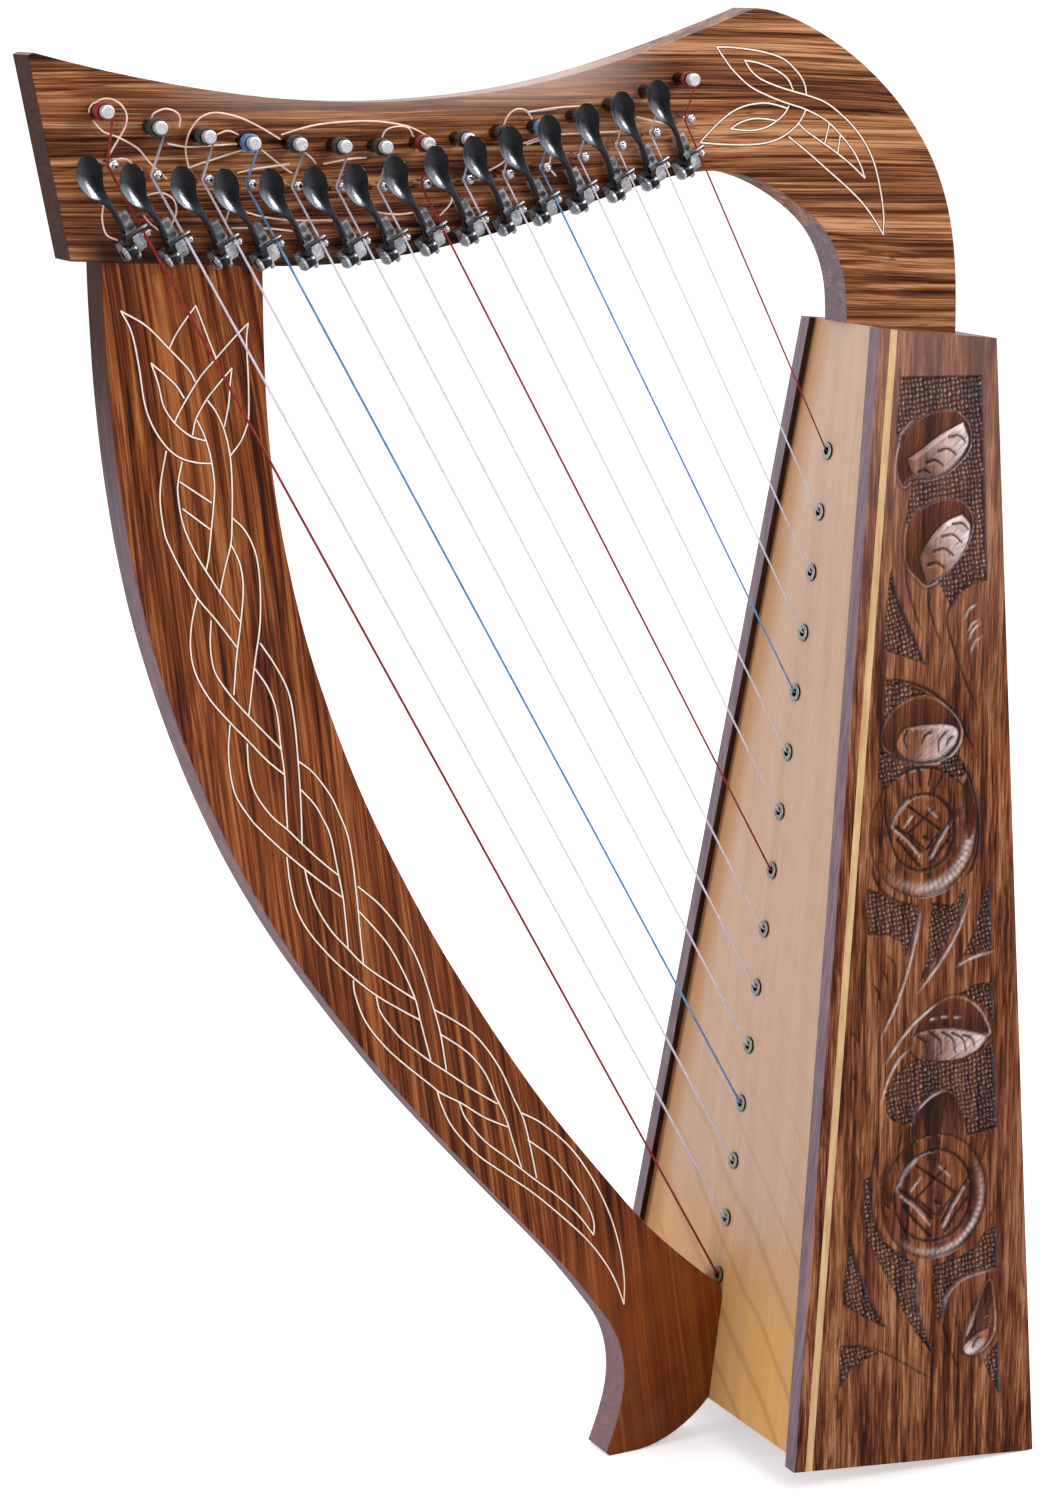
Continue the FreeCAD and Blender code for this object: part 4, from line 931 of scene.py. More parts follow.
        # seven petals between the ring and the rim
        petal = 0.5 + 0.5 * np.cos(angle * 7 + 0.8)
        out = np.clip((r - ring_radius) / (radius - ring_radius), 0, 1)
        petal_depth = 0.35 + 0.9 * (1 - petal ** 0.6) * (1 - out) + 0.5 * out ** 2
        petal_dark = 0.75 * (1 - smoothstep(0.02, 0.22, petal)) * (1 - out * 0.7)
        lit = np.clip(np.cos(angle + math.radians(52)), 0, 1)
        petal_highlight_and_gloss = 0.85 * lit ** 1.3 * ridge(out - 0.72, 0.2) * (0.75 + 0.25 * np.sin(angle * 60))
        self.lay(near, smoothstep(radius + 0.2, radius - 0.5, r),
                 depth * heart + petal_depth * (1 - heart) + 0.8 * ring,
                 np.maximum(dark * heart + petal_dark * (1 - heart), 0.9 * ring),
                 gloss * heart + petal_highlight_and_gloss * (1 - heart), 0.35)
        border = ridge(r - radius - 0.3, 0.6)
        self.depth[near] += 0.6 * border
        self.darken(near, 0.8 * border)


def carve(relief):
    """The carving, laid from the ground up. Groove numbers: width, depth, painted shade, painted
    highlight.
    """
    stipple, hollow, leaf, grooves = relief.stipple, relief.hollow, relief.leaf, relief.grooves
    # stippled grounds
    stipple("""156.5,461.8 196.6,460.2 195.8,375.5 190,375 183,372 177.5,366 172,376 164,390
        156,402 158,410 160,416 160,421 156,432 153.5,440 154.5,448""")
    stipple("148,383 150.5,372 155,361 163.5,343.2 156,346.5 143.6,351 144.3,362 146.5,374", 0.25)
    stipple("144,338.8 152,336.4 160,333.2 164,331 156,330.5 148,327 142,321 143,330")
    stipple("140,309.5 149,306 157,302 152,298 147,293 142,292 138.6,299")
    stipple("169,302.5 178,303.8 183,297 179,294 172,295.6")
    stipple("""131.5,253 137,250.5 146,244.5 156,243.3 155.5,237 152,228.5 148.5,222.5 147,229
        141,232.4 130.6,234 130.2,243""")
    stipple("163,243.5 172,241 180,247 177.5,238 171,229 163.5,219.5 155.5,211 160,222 161,233",
            0.3)
    stipple("192,249 192.4,220 186,219.6 177.5,219 183,228 188,240", 0.25)
    stipple("175,203.4 183,206 191.5,206 191.8,190 187,196.5 181.5,200.4")
    stipple("""136.8,158 136,166 141,172.5 147,177 153,178.5 163,176 175,175 184,178 190.5,180
        191.6,175 191.6,143.5 184,142.5 176.6,142.5 175,150.5 172.6,157 170,162 164,164.3
        158,162.4 151,157.4 149,150.5 143,152.5 138.6,155""")
    stipple("""124,131.5 127.6,132 126.4,122 128,112 132.6,103.5 140,97 147.2,92 148.6,84
        147.6,75 151,63 155.2,51.5 147,62 141,72.5 136,84 130,95 125,104 123.2,114""")
    stipple("""156.6,88.8 170,90.6 179,93.6 183,99 189.4,100.4 189.6,83.4 180,82.6 170,80.8
        164,76.4 160.2,66 158.6,64 157.4,76""")
    stipple("181,43.5 184.6,47 188.4,50 188.2,28 184.4,35")
    stipple("115.6,109 114.6,98 112,90 111.6,80.4 118,75.4 132,66.6 125,78.6 119.4,94", 0.2)
    stipple("109,62.6 114,62.2 121,60 127.4,56.4 120,54.8 113,51.6 108,45 108,52")
    # two buds
    hollow("""153,423 154.4,433 160,441.6 171,447 183,446.6 190,440.5 190.6,432 186.6,426.4
        179,421.4 170,418.8 161,419.4 156,417""", axis=(0.5, -0.86))
    leaf("""159,428.5 166,432 175,437 186.8,441.6 189.4,434 185,427.4 176,421.4 166,420.4
        160.6,423.4""", """164,422.6 169.6,421.8; 168,426.4 175.8,424.6; 174,430.6 182.6,428.6;
        179.6,436 188,433.4""", toward=(0.9, 0.5), gloss=0.95, tips=(0, 3))
    hollow("""155.4,392 156.8,400.6 163,407.4 174,411 185,409 190.4,402 188.8,393.6 183,385.6
        175,379.4 166,375.6 161,379 156.6,384""", axis=(0.4, -0.9))
    leaf("""163.6,388 169.6,396 177,401.4 184.6,403.6 188.6,399 187,392 181,384 173,378.8
        166.4,376.2 164.6,382""", """167,384.2 175,382.2; 170,389.6 179.6,387.2;
        174.6,395.4 184,392.2; 180,400 188,397""", toward=(0.9, 0.5), gloss=1.0, tips=(3, 8))
    grooves("155.6,393 155.6,379 159,366 162.6,356", 0.5, 0.6, 0.7)
    grooves("166,375.6 166.6,366 169.4,357 172,350", 0.5, 0.6, 0.8)
    grooves("148.2,384 150.4,373 155.6,361 163.6,343", 0.6, 0.7, 0.9)
    grooves("152.2,417 153,428 157,438 164,444.6", 0.5, 0.4, 0.3, 0.5, side=-0.6)
    # leaf at the +X edge with short cuts
    grooves("190,374.8 182,372 176.8,366 175.4,359 178,349 182.4,337 189,321", 0.55, 0.8, 0.8)
    grooves("""183,361 185.4,364.6 189.8,366.6; 184.6,355 186.6,358.4 190.4,360;
        184.6,351.8 187,356 191,358.6; 185.4,346.6 187.6,350.6 191.4,353""", 0.4, 0.45, 0.35, 0.55)
    # half flower
    grooves("143.6,339.4 155,336.6 165,332.4 173,326.4 180,318 184.4,310 187.6,302", 0.7, 1.0, 0.9)
    hollow("""141,312 142,319 147,325.4 156,329.4 166,329 175,323.4 180.6,315.6 178.6,307.6
        171,302.4 159,301.8 148.6,305.4""", axis=(0.0, -1.0), depth=1.5)
    leaf("""148.6,310.6 150.6,315.6 155,318 165,318 175,316.8 179,314 177.6,308.8 170.6,304
        160,303.2 152,305.8""", """154,316.4 153,309.6; 165.6,314.8 160.6,310.4;
        172.8,314 169,306; 176,311.8 173,308.4""", toward=(1.0, -0.2), gloss=0.85)
    # upper rose
    hollow("150,300 159,302 168.6,300 176,293 172,286 148,286 146,292", axis=(0, 1), depth=0.8,
           rim=False)
    relief.rose(160, 273.5, ring_radius=16.0, radius=26.5)
    grooves("""153,300 154.6,291.6; 159,301 159.4,291; 165.6,300 163.4,291.6;
        170.6,296.6 167.4,290.4""", 0.6, 0.7, 0.85)
    hollow("182.6,294 185.8,284 185.8,272 181.6,268 180.4,280 179.4,289", axis=(0, 1), depth=0.5,
           warm=0.9, rim=False)
    grooves("178.6,304 184,294 187.4,281 187.4,266 183.6,256 176.6,249.6", 0.8, 1.1, 0.9)
    grooves("142,292 141.6,284 142.8,276; 134,265 134.6,258 139,250.6 147,245.4 156,243.6",
            0.7, 0.9, 0.85)
    grooves("137,264.6 140.4,262 143.4,257.4", 0.4, 0.5, 0.6)
    # stems
    grooves("155.6,240 152.4,228 147.8,215 142,203 133.8,190", 0.5, 0.5, 0.45, 0.65)
    grooves("180.6,243 174,230 165,218.6 153.4,207", 0.5, 0.6, 0.6, 0.65)
    grooves("173,215.4 181,218.2 192,219.6", 0.5, 0.6, 0.5, 0.5)
    grooves("""139,224.6 142,221.4 144.4,217; 135.6,219 138.4,215.8 139.6,211;
        131.8,213 134.4,209.4 135.6,204""", 0.45, 0.6, 0.85)
    grooves("""120.4,194.6 122.6,192 124,189; 121,190 122.4,188 122.8,186;
        119.6,178 120.6,176 121,174""", 0.3, 0.4, 0.7)
    # long leaf
    grooves("136,179.4 144.6,189 155,197 167,202.4; 133,163 136.6,172 142,179.4 148.4,184.4",
            0.5, 0.5, 0.45, 0.7)
    hollow("""150,184 152,191.4 158.6,197.6 167,201.8 176,201.4 184.6,195.4 189.4,186.6
        188,183.6 180,186 168,189 156,189""", axis=(0, -1), depth=1.2)
    leaf("""149.4,183 152.4,188.6 160,190 171,188.6 181,185.6 188.6,183 183,178.4 173,175.8
        161,176.6 153,179""", """154,187.6 158,180; 160,188.6 165,179; 166,188 172,178.4;
        171,187 177.4,178; 176.4,185.4 182,179.6""", toward=(1.0, 0.1), gloss=0.95,
         vein_width=0.62, tips=(0, 5))
    grooves("159.4,194.8 162.6,194.6; 165,195 168.4,194.6; 171.4,194 174.6,193.6",
            0.35, 0.3, 0.1, 0.6)
    # lower rose and the tall petals above it
    hollow("151.4,156 158,161.4 165,163 170.4,160.6 174.4,151 174,141 160,137 150,141",
           axis=(0, 1), depth=0.9, warm=0.7, rim=False)
    grooves("151,157 157.6,161.6 165,163.8", 0.45, 0.4, 0.4, 0.55)
    grooves("""152.6,154 151.4,146 153.6,140; 158.6,158 156,149 158,141;
        167.6,160 163.6,151 162,141; 173.4,154 170,146 168.6,139;
        181,142 177,132 174.6,126; 186.4,141 183.4,131 180,122""", 0.5, 0.7, 0.7)
    relief.rose(159, 119, ring_radius=19.5, radius=26.0)
    grooves("131.6,149 129.6,138 127.4,127 128.6,113 134.4,102", 0.7, 0.9, 0.85)
    grooves("136.6,140 133.6,130 133,118 137,108", 0.5, 0.6, 0.7)
    grooves("""131,127 134.6,125 136.6,122; 132,120 135.4,118.4 137.6,115.6;
        144,150 141.4,141 141.6,133""", 0.45, 0.5, 0.7)
    # lower leaves
    grooves("116,110 119.4,95 125,79 132.4,66.6", 0.6, 0.8, 0.85)
    grooves("148,64 151.4,57.4 155.6,51.4", 0.6, 0.9, 0.95)
    grooves("110,63 121,60.4 130.4,56.2 140,50 148,44.4 155.6,40", 0.5, 0.6, 0.7)
    grooves("160.4,68 163,75.6 170,80.8 180,82.4 188,82.6", 0.5, 0.6, 0.6, 0.3)
    grooves("160,66 163,54 168,41", 0.5, 0.6, 0.8)
    grooves("166,68 168.6,60 170.4,54; 171.6,77 171,66 171.4,58", 0.4, 0.5, 0.6)
    hollow("171,51 173.4,61 179.6,70.6 185.6,78 187.4,66 186.6,55 181,49 174.6,47.6",
           axis=(-0.6, 0.6), depth=0.9, warm=0.7)
    leaf("170.8,50.6 174,53.4 179,56 184.4,57 182.6,51.4 178,48.4 173.6,47.6",
         "176,50.4 180.6,54", toward=(-0.4, -1.0), gloss=0.95, rounding=2.0)
    leaf("172.4,55.6 175.4,63.6 180.6,71.4 183.4,75.6 179,66.6 175.4,58.4", "",
         toward=(-0.6, -0.6), gloss=0.6, rounding=1.6)
    grooves("181,62 185.4,63.4; 182,67.4 186,69; 182.6,57.6 186,58.6", 0.4, 0.5, 0.7)


# ---------------------------------------------------------------- carved side panels (mm)
PANEL_WALL = 7.5
EDGE_RADIUS = 1.0
EDGE_STEPS = [0.0, 0.12, 0.3, 0.55, EDGE_RADIUS]
LINE_START, LINE_END, LINE_DEPTH = 5.4, 8.8, 2.0    # groove beside the front edge
FLAT_END_X = 201.1      # where the rear corner starts to stand flat


def side_panel(name, side):
    """Panel on the side of -Y (side -1) or +Y (side 1), its carved face outwards."""
    rows = 880
    columns = 200
    share = np.linspace(0, 1, rows)[:, None]
    front = FRONT_FOOT + share * (FRONT_HEAD - FRONT_FOOT)
    span = BACK_FOOT + share * (BACK_HEAD - BACK_FOOT) - front
    width = np.linalg.norm(span, axis=1)
    direction = span / width[:, None]
    slant = 1.0 / (direction @ BOARD_IN)    # row length per distance from the soundboard

    # columns of the face: rounded edge, groove, carved field, rounded edge
    edge = [(a, 1.0 - math.sqrt(max(0.0, 1 - (1 - a) ** 2))) for a in EDGE_STEPS]
    head = edge + [(LINE_START, 0.0), (LINE_START, LINE_DEPTH),
                   (LINE_END, LINE_DEPTH), (LINE_END, 0.0)]
    field_start = LINE_END * slant
    places = [a * slant for a, _ in head]
    places += [field_start + (width - EDGE_RADIUS - field_start) * t
               for t in np.linspace(0, 1, columns)[1:]]
    places += [width - a for a, _ in edge[-2::-1]]
    sinks = [d for _, d in head] + [0.0] * (columns - 1) + [d for _, d in edge[-2::-1]]
    across = np.stack(places, 1)
    x = front[:, 0:1] + direction[:, 0:1] * across
    z = front[:, 1:2] + direction[:, 1:2] * across
    drop = (x[0] - FRONT_FOOT[0]) / (FLAT_END_X - FRONT_FOOT[0])
    z[0] = np.clip(FRONT_FOOT[1] * (1 - drop), 0, None)

    relief = Relief(x, z)
    carve(relief)
    count = x.shape[1]
    field = np.zeros_like(x)
    field[3:-3, len(head):count - len(edge)] = 1.0
    depth = np.array(sinks) + np.clip(relief.depth, -0.15, 3.2) * field

    # sink along the normal of the tapering side
    face_y = half_width(x, z)
    step = 0.5
    slope_x = (half_width(x + step, z) - half_width(x - step, z)) / (2 * step)
    slope_z = (half_width(x, z + step) - half_width(x, z - step)) / (2 * step)
    length = np.sqrt(slope_x ** 2 + 1 + slope_z ** 2)
    outer = np.stack([x + depth * slope_x / length, -face_y + depth / length,
                      z + depth * slope_z / length], -1)
    ends = [count - 1, 0]
    inner = np.stack([x[:, ends], -(face_y[:, ends] - PANEL_WALL), z[:, ends]], -1)
    ring = count + 2
    verts = np.concatenate([outer, inner], 1).reshape(-1, 3) * MM
    i, j = np.meshgrid(np.arange(rows - 1), np.arange(ring), indexing="ij")
    a = (i * ring + j).ravel()
    b = (i * ring + (j + 1) % ring).ravel()
    quads = np.stack([a, b, b + ring, a + ring], 1)
    caps = [list(range(ring))[::-1], [(rows - 1) * ring + k for k in range(ring)]]
    if side > 0:
        verts[:, 1] *= -1
        quads = quads[:, ::-1]
        caps = [cap[::-1] for cap in caps]
    panel = new_mesh(name, verts, quads.tolist() + caps, panel_wood, "rosewood")
    mesh = panel.data
    smooth = np.ones(len(mesh.polygons), bool)
    smooth[-2:] = False
    mesh.polygons.foreach_set("use_smooth", smooth)
    mesh.update()
    mesh.set_sharp_from_angle(angle=math.radians(42))
    # masks: painted shade, painted highlight (also less rough), warm tint
    masks = np.zeros((rows, ring, 4), np.float32)
    masks[:, :count, 0] = np.clip(relief.dark * field, 0, 0.92)
    masks[:, :count, 1] = np.clip(relief.gloss * field, 0, 1)
    masks[:, :count, 2] = np.clip(relief.warm * field, 0, 1)
    masks[..., 3] = 1
    attribute = mesh.color_attributes.new("carve", "FLOAT_COLOR", "POINT")
    attribute.data.foreach_set("color", masks.reshape(-1))
    return panel


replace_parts(side_panel("carved_side_left", -1), "side_panel_left")
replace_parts(side_panel("carved_side_right", 1), "side_panel_right")

# ---------------------------------------------------------------- strings (mm)
# bridge pins, (x,z) from the longest string to the shortest
BRIDGE_PINS = curves("""
-177.1,555.5 -160,551.4 -139.8,549.2 -122.3,547 -103.7,545.8 -85.4,545 -68,544.6 -50.1,545
-31.8,546.2 -14.5,547.8 1.7,550 18.5,553.6 35.2,557.6 50.5,562.3 65.9,567.3""")[0]
STRING_RADII = [0.50, 0.49, 0.48, 0.46, 0.45, 0.44, 0.42, 0.41, 0.40, 0.39, 0.37, 0.36, 0.35,
                0.34, 0.33]
TUNING_PINS = np.array([(joint["pos_m"][0] / MM, joint["pos_m"][2] / MM)
                        for joint in frame["joints"] if joint["name"].startswith("tuning_pin")])
TUNING_PIN_RADIUS, BRIDGE_PIN_RADIUS = 2.55, 1.1
FIRST_EYELET, EYELET_PITCH = 58.8, 25.72    # along the soundboard
TURNS = 3.6


def bend(corner, before, after, reach):
    """Seven points rounding a corner, starting this far before it."""
    start = corner + unit(before - corner) * reach
    end = corner + unit(after - corner) * reach
    return [(1 - t) ** 2 * start + 2 * t * (1 - t) * corner + t ** 2 * end
            for t in np.linspace(0, 1, 7)]


def string_path(index):
    """Knot, eyelet, bridge pin, then turns round the tuning pin towards the neck."""
    pin, bridge, radius = TUNING_PINS[index], BRIDGE_PINS[index], STRING_RADII[index]
    up = FIRST_EYELET + EYELET_PITCH * index
    eyelet = board_point(up, 2.0)
    coil_radius = TUNING_PIN_RADIUS + radius
    # settle the bend at the bridge pin and the tangent point on the tuning pin together
    corner, touch = bridge, pin
    for _ in range(12):
        down, onward = unit(eyelet - corner), unit(touch - corner)
        half = math.acos(max(-1.0, min(1.0, float(down @ onward)))) / 2
        clearance = BRIDGE_PIN_RADIUS + radius + 0.04
        corner = bridge - unit(down + onward) * clearance / math.sin(half)
        gap = corner - pin
        angle = math.atan2(gap[1], gap[0])
        swing = math.acos(coil_radius / np.linalg.norm(gap))
        touches = [pin + coil_radius * np.array((math.cos(angle + k * swing),
                                                 math.sin(angle + k * swing))) for k in (1, -1)]
        touch = max(touches, key=lambda point: point[0])
    # the lowest string ends deeper in the box
    knot = board_point(up, 2.75 + 3.0 + (20.0 if up < 76.0 else 4.5) + 0.2)
    coil_y = NECK_Y - 9.6 - radius
    knot = np.array((knot[0], 0.0, knot[1]))
    eyelet = np.array((eyelet[0], 0.0, eyelet[1]))
    over_bridge = np.array((corner[0], NECK_Y - 8.5, corner[1]))
    on_pin = np.array((touch[0], coil_y, touch[1]))
    points = [knot] + bend(eyelet, knot, over_bridge, 0.7) + bend(over_bridge, eyelet, on_pin, 0.9)
    # wind on in the direction the string arrives
    start = math.atan2(touch[1] - pin[1], touch[0] - pin[0])
    arrival = unit(touch - corner)
    sense = 1.0 if -math.sin(start) * arrival[0] + math.cos(start) * arrival[1] > 0 else -1.0
    pitch = 2.06 * radius
    steps = int(TURNS * 26)
    for step in range(steps + 1):
        turned = step / steps * TURNS
        angle = start + sense * turned * 2 * math.pi
        points.append(np.array((pin[0] + coil_radius * math.cos(angle), coil_y + turned * pitch,
                                pin[1] + coil_radius * math.sin(angle))))
    return np.array(points) * MM


def mark_coils(piece, indices):
    """Attribute "coil": 1 on vertices close round a tuning pin."""
    mesh = piece.data
    places = np.empty(len(mesh.vertices) * 3, np.float32)
    mesh.vertices.foreach_get("co", places)
    places = places.reshape(-1, 3) / MM
    marks = np.zeros(len(places), np.float32)
    for index in indices:
        pin = TUNING_PINS[index]
        distance = np.hypot(places[:, 0] - pin[0], places[:, 2] - pin[1])
        reach = TUNING_PIN_RADIUS + 2 * STRING_RADII[index] + 0.05
        marks = np.maximum(marks, (distance < reach).astype(np.float32))
    mesh.attributes.new("coil", "FLOAT", "POINT").data.foreach_set("value", marks)


RED, BLUE = [0, 7, 14], [3, 10]
CLEAR = [i for i in range(15) if i not in RED + BLUE]
for colour_name, material, indices in (("red", red_nylon, RED), ("blue", blue_nylon, BLUE),
                                       ("clear", clear_nylon, CLEAR)):
    group = "strings_" + colour_name
    parts = [tube(string_path(i), STRING_RADII[i] * MM, 10) for i in indices]
    wound = new_mesh("wound_" + group, *merged(parts), material, "nylon_" + colour_name)
    mark_coils(wound, indices)
    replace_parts(wound, group)

# ---------------------------------------------------------------- loose string ends on the neck
# (x,z) in mm
TAILS = curves("""
-181.3,574.5 -179.4,578.4 -175.2,579.1 -171.1,577.1 -168.8,573.2 -169.5,568.8 -172.7,563.3
-175.8,558.3; -181.4,571.2 -177.9,567.3 -172,564.9 -164.9,560.9 -160.2,555.7 -153.1,549.3;
-158.9,570.8 -158,573.5 -153.7,575.1 -149.5,573.9 -147.7,571.7 -147.8,568.3;
-144.5,553.6 -145.6,558.1 -145.5,562.6 -143.5,567.7 -139.2,572.1 -133,573.3 -124.4,571.4
-115.8,567.6 -107.2,562.9; -152.8,562.3 -145.5,561 -135.7,561.3 -124.6,561.6;
-133.2,565.2 -129.4,566.6 -124.5,565;
-107.1,564.6 -94.5,567.8 -81.8,568.9 -69.1,568.9 -56.2,567 -48.4,563.9 -44.6,561.5;
-114.7,559.1 -109.8,555 -104.8,551.4 -102.3,550.2;
-148.2,551.5 -142,554.1 -134.6,556.2 -124.7,558.8 -119.7,559.8;
-124.8,550.8 -117.3,552.3 -103.5,553.7; -97.2,557.5 -92.8,553.4;
-89.7,553.3 -80.7,554.8 -71.8,555.2; -174.6,557.2 -169.8,557.1 -166.3,554.2;
-176.2,542.2 -178.7,541.1 -180,535.6 -178.4,529.9 -173.6,527.5;
-161.7,543.4 -155.6,544.3 -150.8,541.4 -150.4,535.7 -154.8,530.2 -159.6,532.6 -162.5,536.1;
-134.8,544.9 -130,540.8 -122.6,536.5 -113.9,534 -102.6,532.5 -85.5,531.9;
-130.1,532.8 -128.8,537.3 -125.1,538.3; -127.7,530.4 -115.2,530 -102.7,528.4;
-79.6,542.7 -74.5,537.9 -69.4,534.9 -60.4,533.4 -52.6,533.7;
-65.3,562.5 -64,565.4 -60.1,566.7 -54.9,566.1 -51.7,562.2;
-13.6,565.5 -12.2,569.6 -8.9,572.2 -4.2,571.7 -0.9,568.2; -1.6,571.1 11,572;
-6.2,558.3 1.8,561 9.9,562.6; -24.9,547 -15.6,550.9 -11.6,553.1;
-40.8,532.2 -36.2,537.9 -36.8,541.5; -3.2,570.9 9.4,572.5 22.1,572.9;
-3.2,558.6 9.4,562 22.2,562.4 37.8,562.7; 7.3,554.7 5.9,549.8 9.5,546;
46.4,568.1 55.1,566 60.9,565.3
""")
PIN_CLEARANCE = 3.1


def tail_path(index, line):
    """The end stands off the near face, bowed out, and keeps clear of every tuning pin."""
    x, z = spline(line, 0.7).T
    share = np.linspace(0, 1, len(x))
    y = NECK_Y - 1.6 - 0.28 * (index % 7) - 1.6 * np.sin(share * math.pi)
    for pin_x, pin_z in TUNING_PINS:
        away_x, away_z = x - pin_x, z - pin_z
        distance = np.hypot(away_x, away_z) + 1e-9
        push = np.where(distance < PIN_CLEARANCE, PIN_CLEARANCE / distance, 1.0)
        x, z = pin_x + away_x * push, pin_z + away_z * push
    return np.stack([x, y, z], 1) * MM


tails = [tube(tail_path(i, line), 0.36 * MM, 8) for i, line in enumerate(TAILS)]
new_mesh("string_tails", *merged(tails), tail_nylon, "nylon_clear")

# ---------------------------------------------------------------- sharping levers (mm)
# Lever frame: across the joint axis, along it, and out towards -Y from y = -5.
# spoon stations: across, along, out, width, thickness, depth of the dish
SPOON = [(-0.7, -6.95, 5.8, 3.2, 2.7, 0.0), (-5.0, -7.0, 7.9, 2.8, 2.9, 0.0),
         (-11.0, -7.3, 10.7, 2.3, 2.3, 0.0), (-16.0, -8.0, 13.3, 2.4, 1.9, 0.05),
         (-20.5, -9.0, 15.2, 3.4, 1.5, 0.3), (-24.5, -10.3, 16.4, 5.8, 1.2, 1.1),
         (-28.5, -10.9, 17.1, 8.8, 1.0, 2.2), (-32.2, -10.4, 17.5, 10.4, 0.9, 2.7),
         (-35.4, -9.0, 17.6, 9.4, 0.9, 2.2), (-37.6, -7.8, 17.4, 6.8, 0.9, 1.2),
         (-38.8, -7.0, 17.2, 3.2, 0.8, 0.3)]
HUB = (2.3, 4.8)    # across, out
FINGER_REACH, FINGER_ANGLE = 7.9, math.radians(50.0)
FINGER = (HUB[0] - FINGER_REACH * math.sin(FINGER_ANGLE),
          HUB[1] + FINGER_REACH * math.cos(FINGER_ANGLE))
WEB = [(-7.2, 8.2), (0.0, 5.0), (0.6, 7.4), (FINGER[0] + 1.5, FINGER[1] + 0.6),
       (FINGER[0] + 0.4, FINGER[1] + 1.5), (FINGER[0] - 1.2, FINGER[1] + 1.2)]


def squared(value):
    """A cosine or sine drawn out to make an oval squarer."""
    return math.copysign(abs(value) ** 0.85, value)


def spoon(segments=20):
    """Oval sections along a curve, the middle sunk to make a dish."""
    stations = spline(SPOON, 0.55)
    centres = stations[:, :3]
    tangents = np.gradient(centres, axis=0)
    tangents /= np.linalg.norm(tangents, axis=1)[:, None]
    verts = []
    for centre, tangent, station in zip(centres, tangents, stations):
        width, thickness, dish = max(station[3], 0.3), max(station[4], 0.3), max(station[5], 0.0)
        side = unit(np.cross(np.array([0.0, 0.0, 1.0]), tangent))
        out = np.cross(tangent, side)
        for k in range(segments):
            angle = 2 * math.pi * k / segments
            aside = squared(math.cos(angle))
            height = squared(math.sin(angle)) * thickness / 2
            verts.append(centre + side * aside * width / 2
                         + out * (height - dish * (1 - aside * aside)))
    ends = [np.mean(verts[:segments], axis=0), np.mean(verts[-segments:], axis=0)]
    return verts + ends, capped_faces(len(stations), segments)


def barrel(centre, start, end, radius, ease, segments, bore=0.0):
    """Cylinder along the joint axis with eased ends, or a ring when it has a bore."""
    profile = [(start, radius - ease), (start + ease * 0.3, radius - ease * 0.3),
               (start + ease, radius), (end - ease, radius),
               (end - ease * 0.3, radius - ease * 0.3), (end, radius - ease)]
    if bore:
        profile += [(end, bore), (start, bore)]
    verts, faces = [], []
    for along, r in profile:
        for k in range(segments):
            angle = 2 * math.pi * k / segments
            verts.append((centre[0] + r * math.cos(angle), along,
                          centre[1] + r * math.sin(angle)))
    rings = len(profile)
    for i in range(rings if bore else rings - 1):
        this, following = i * segments, ((i + 1) % rings) * segments
        for k in range(segments):
            turn = (k + 1) % segments
            faces.append((this + k, following + k, following + turn, this + turn))
    if not bore:
        faces.append(tuple(range(segments)))
        faces.append(tuple((rings - 1) * segments + k for k in range(segments))[::-1])
    return verts, faces


def web_plate(outline, start, end):
    """Flat plate between two places along the joint axis."""
    n = len(outline)
    verts = [(across, along, out) for along in (start, end) for across, out in outline]
    faces = [tuple(range(n))[::-1], tuple(range(n, 2 * n))]
    faces += [(i, (i + 1) % n, n + (i + 1) % n, n + i) for i in range(n)]
    return verts, faces


def lever(joint):
    number = joint["name"][-2:]
    axis = np.array((joint["axis"][0], joint["axis"][2]))
    cross_axis = np.array((axis[1], -axis[0]))
    place = np.array((joint["pos_m"][0], joint["pos_m"][2])) / MM
    origin = place - HUB[0] * cross_axis + 7.0 * axis
    local, faces = merged([
        spoon(),
        barrel(HUB, -8.8, -5.1, radius=2.9, ease=0.35, segments=40, bore=1.26),
        barrel(FINGER, -7.9, 1.9, radius=0.9, ease=0.3, segments=16),
        web_plate(WEB, -8.1, -5.7)])
    verts = []
    for across, along, out in local:
        x, z = origin + across * cross_axis + along * axis
        verts.append((x * MM, (-5.0 - out) * MM, z * MM))
    piece = new_mesh("spoon_lever_" + number, verts, faces, gunmetal, "gunmetal",
                     body="lever_" + number)
    edit = bmesh.new()
    edit.from_mesh(piece.data)
    bmesh.ops.recalc_face_normals(edit, faces=edit.faces)
    edit.to_mesh(piece.data)
    edit.free()
    piece.data.set_sharp_from_angle(angle=math.radians(40))
    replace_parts(piece, "lever_" + number)


for joint in frame["joints"]:
    if joint["name"].startswith("lever_flip"):
        lever(joint)


# ---------------------------------------------------------------- stage, light and camera (m)
def floor_material(name):
    """Pale matt floor, lifted for the camera and dark in reflections."""
    mat = Material(name)
    cloud = mat.noise(mat.point, 6.0, 2.0)
    reflected = mat.mul(mat.light_path("Is Glossy Ray"), 0.66)
    colour = mat.mix(reflected, mat.mix(cloud, grey(0.86), grey(0.90)), grey(0.05))
    return mat.finish(Base_Color=colour, Roughness=0.95, Emission_Color=grey(1.0),
                      Emission_Strength=mat.mul(mat.light_path("Is Camera Ray"), 0.50),
                      Specular_IOR_Level=0.0)


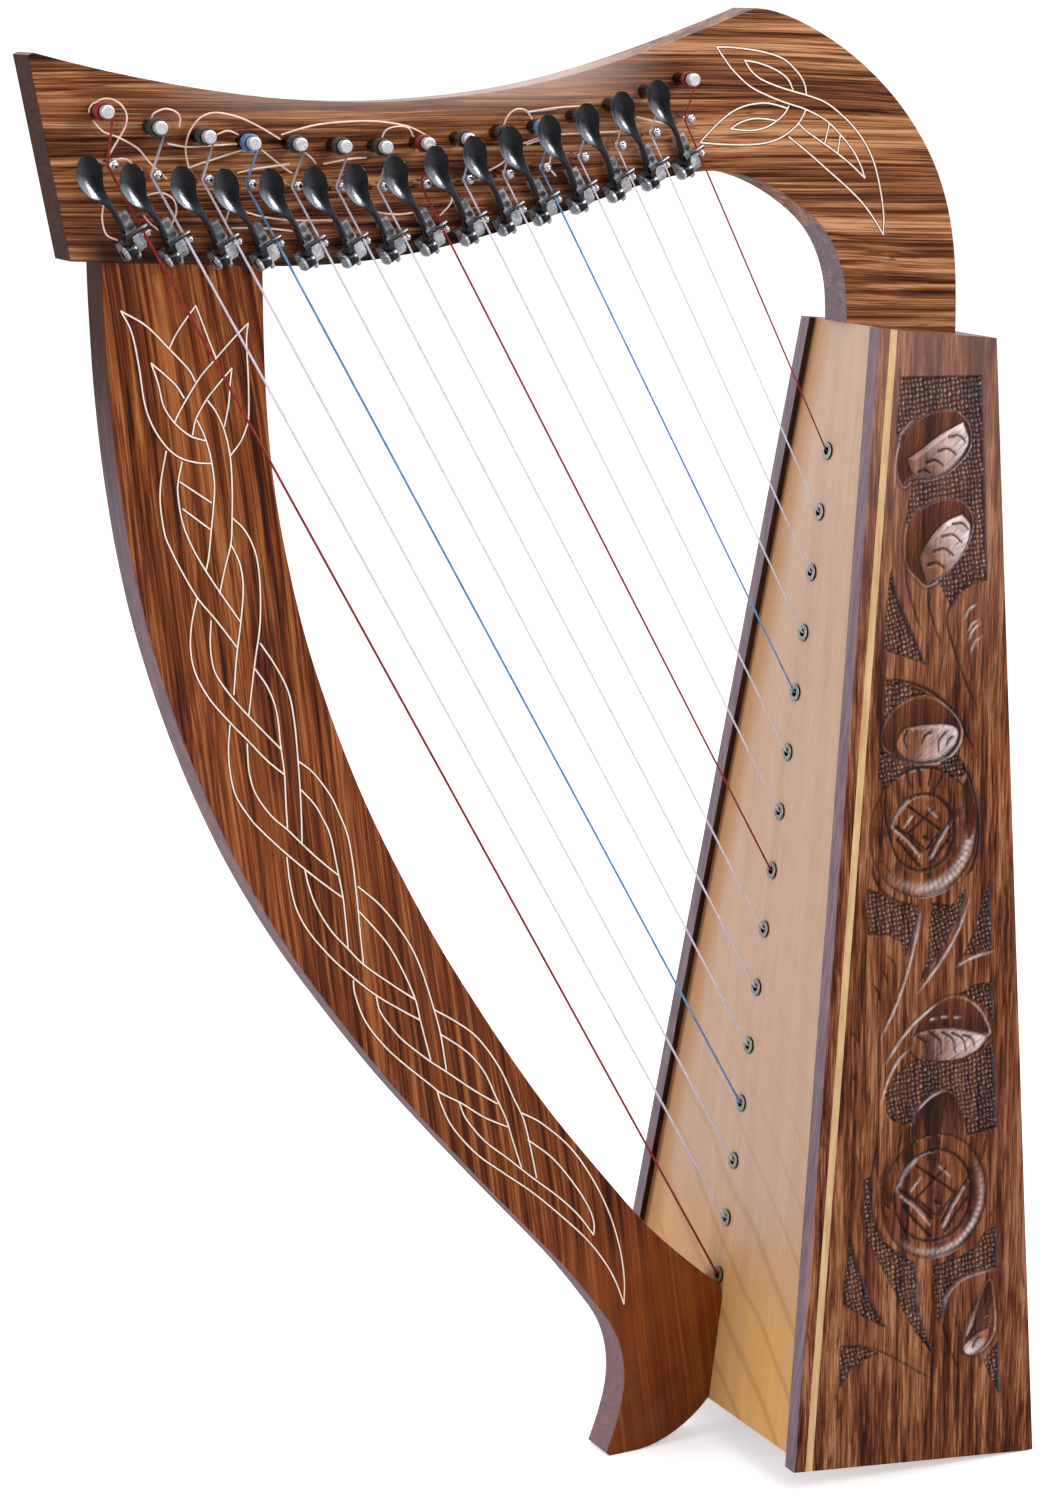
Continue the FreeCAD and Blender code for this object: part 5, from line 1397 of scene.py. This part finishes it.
def add_floor(half=60.0):
    mesh = bpy.data.meshes.new("floor")
    corners = [(-half, -half, 0), (half, -half, 0), (half, half, 0), (-half, half, 0)]
    mesh.from_pydata(corners, [], [(0, 1, 2, 3)])
    mesh.materials.append(floor_material("studio_floor"))
    floor = bpy.data.objects.new("floor", mesh)
    bpy.context.scene.collection.objects.link(floor)
    floor.location = (0, 0, -0.0003)


def add_world():
    """White to the camera; as light, brighter from +Y and a little from -X."""
    world = bpy.data.worlds.new("studio")
    world.use_nodes = True
    sky = Nodes(world.node_tree)
    background = world.node_tree.nodes["Background"]
    x, y, _ = sky.xyz(sky.node("TexCoord").outputs["Generated"])
    from_back = sky.remap(y, -0.75, 0.45, 0.26, 1.0)
    from_left = sky.remap(x, -0.35, -0.95, 0.0, 0.25)
    light = sky.add(from_back, from_left)
    seen = sky.light_path("Is Camera Ray")
    sky.put(background.inputs[1], sky.node("Mix", {0: seen, 2: light, 3: 1.0}).outputs[0])
    sky.put(background.inputs[0], sky.mix(seen, (0.95, 0.955, 1.0, 1.0), grey(1.0)))
    bpy.context.scene.world = world


def add_light(name, place, target, size, power, colour):
    data = bpy.data.lights.new(name, "AREA")
    data.shape = "RECTANGLE"
    data.size, data.size_y = size
    data.energy = power
    data.color = colour
    light = bpy.data.objects.new(name, data)
    bpy.context.scene.collection.objects.link(light)
    light.location = place
    light.rotation_mode = "QUATERNION"
    light.rotation_quaternion = (Vector(target) - Vector(place)).to_track_quat("-Z", "Y")


def add_camera():
    camera = bpy.data.objects.new("camera", bpy.data.cameras.new("camera"))
    bpy.context.scene.collection.objects.link(camera)
    right = Vector((0.890960213, -0.454081136, -0.000469729))
    down = Vector((-0.09958518, -0.19438827, -0.97585654))
    forward = Vector((0.44302674, 0.86949613, -0.21841197))
    place = (-0.63745, -1.24987, 0.62848)
    pose = Matrix.Identity(4)
    for k in range(3):
        pose[k] = (right[k], -down[k], -forward[k], place[k])
    camera.matrix_world = pose
    camera.data.sensor_width = 36.0
    camera.data.sensor_fit = "AUTO"
    camera.data.lens = 84.618
    camera.data.clip_start, camera.data.clip_end = 0.05, 200.0
    bpy.context.scene.camera = camera


add_floor()
add_world()
add_light("soft_left", place=(-1.7, 0.30, 0.80), target=(0.0, 0.0, 0.3), size=(1.4, 1.6),
          power=9.0, colour=(0.93, 0.94, 1.0))
add_light("soft_key", place=(1.25, -1.85, 1.55), target=(0.0, 0.0, 0.34), size=(0.8, 0.8),
          power=34.0, colour=(1.0, 0.99, 0.97))
add_light("soft_front", place=(-0.7, -2.2, 1.7), target=(0.0, 0.0, 0.4), size=(1.8, 0.7),
          power=7.0, colour=(0.96, 0.97, 1.0))
add_light("soft_top", place=(0.1, 0.1, 2.0), target=(0.05, 0.0, 0.3), size=(1.4, 1.4),
          power=12.0, colour=(1.0, 1.0, 1.0))
add_camera()
bpy.context.scene.view_settings.view_transform = "Standard"

bpy.context.view_layer.update()
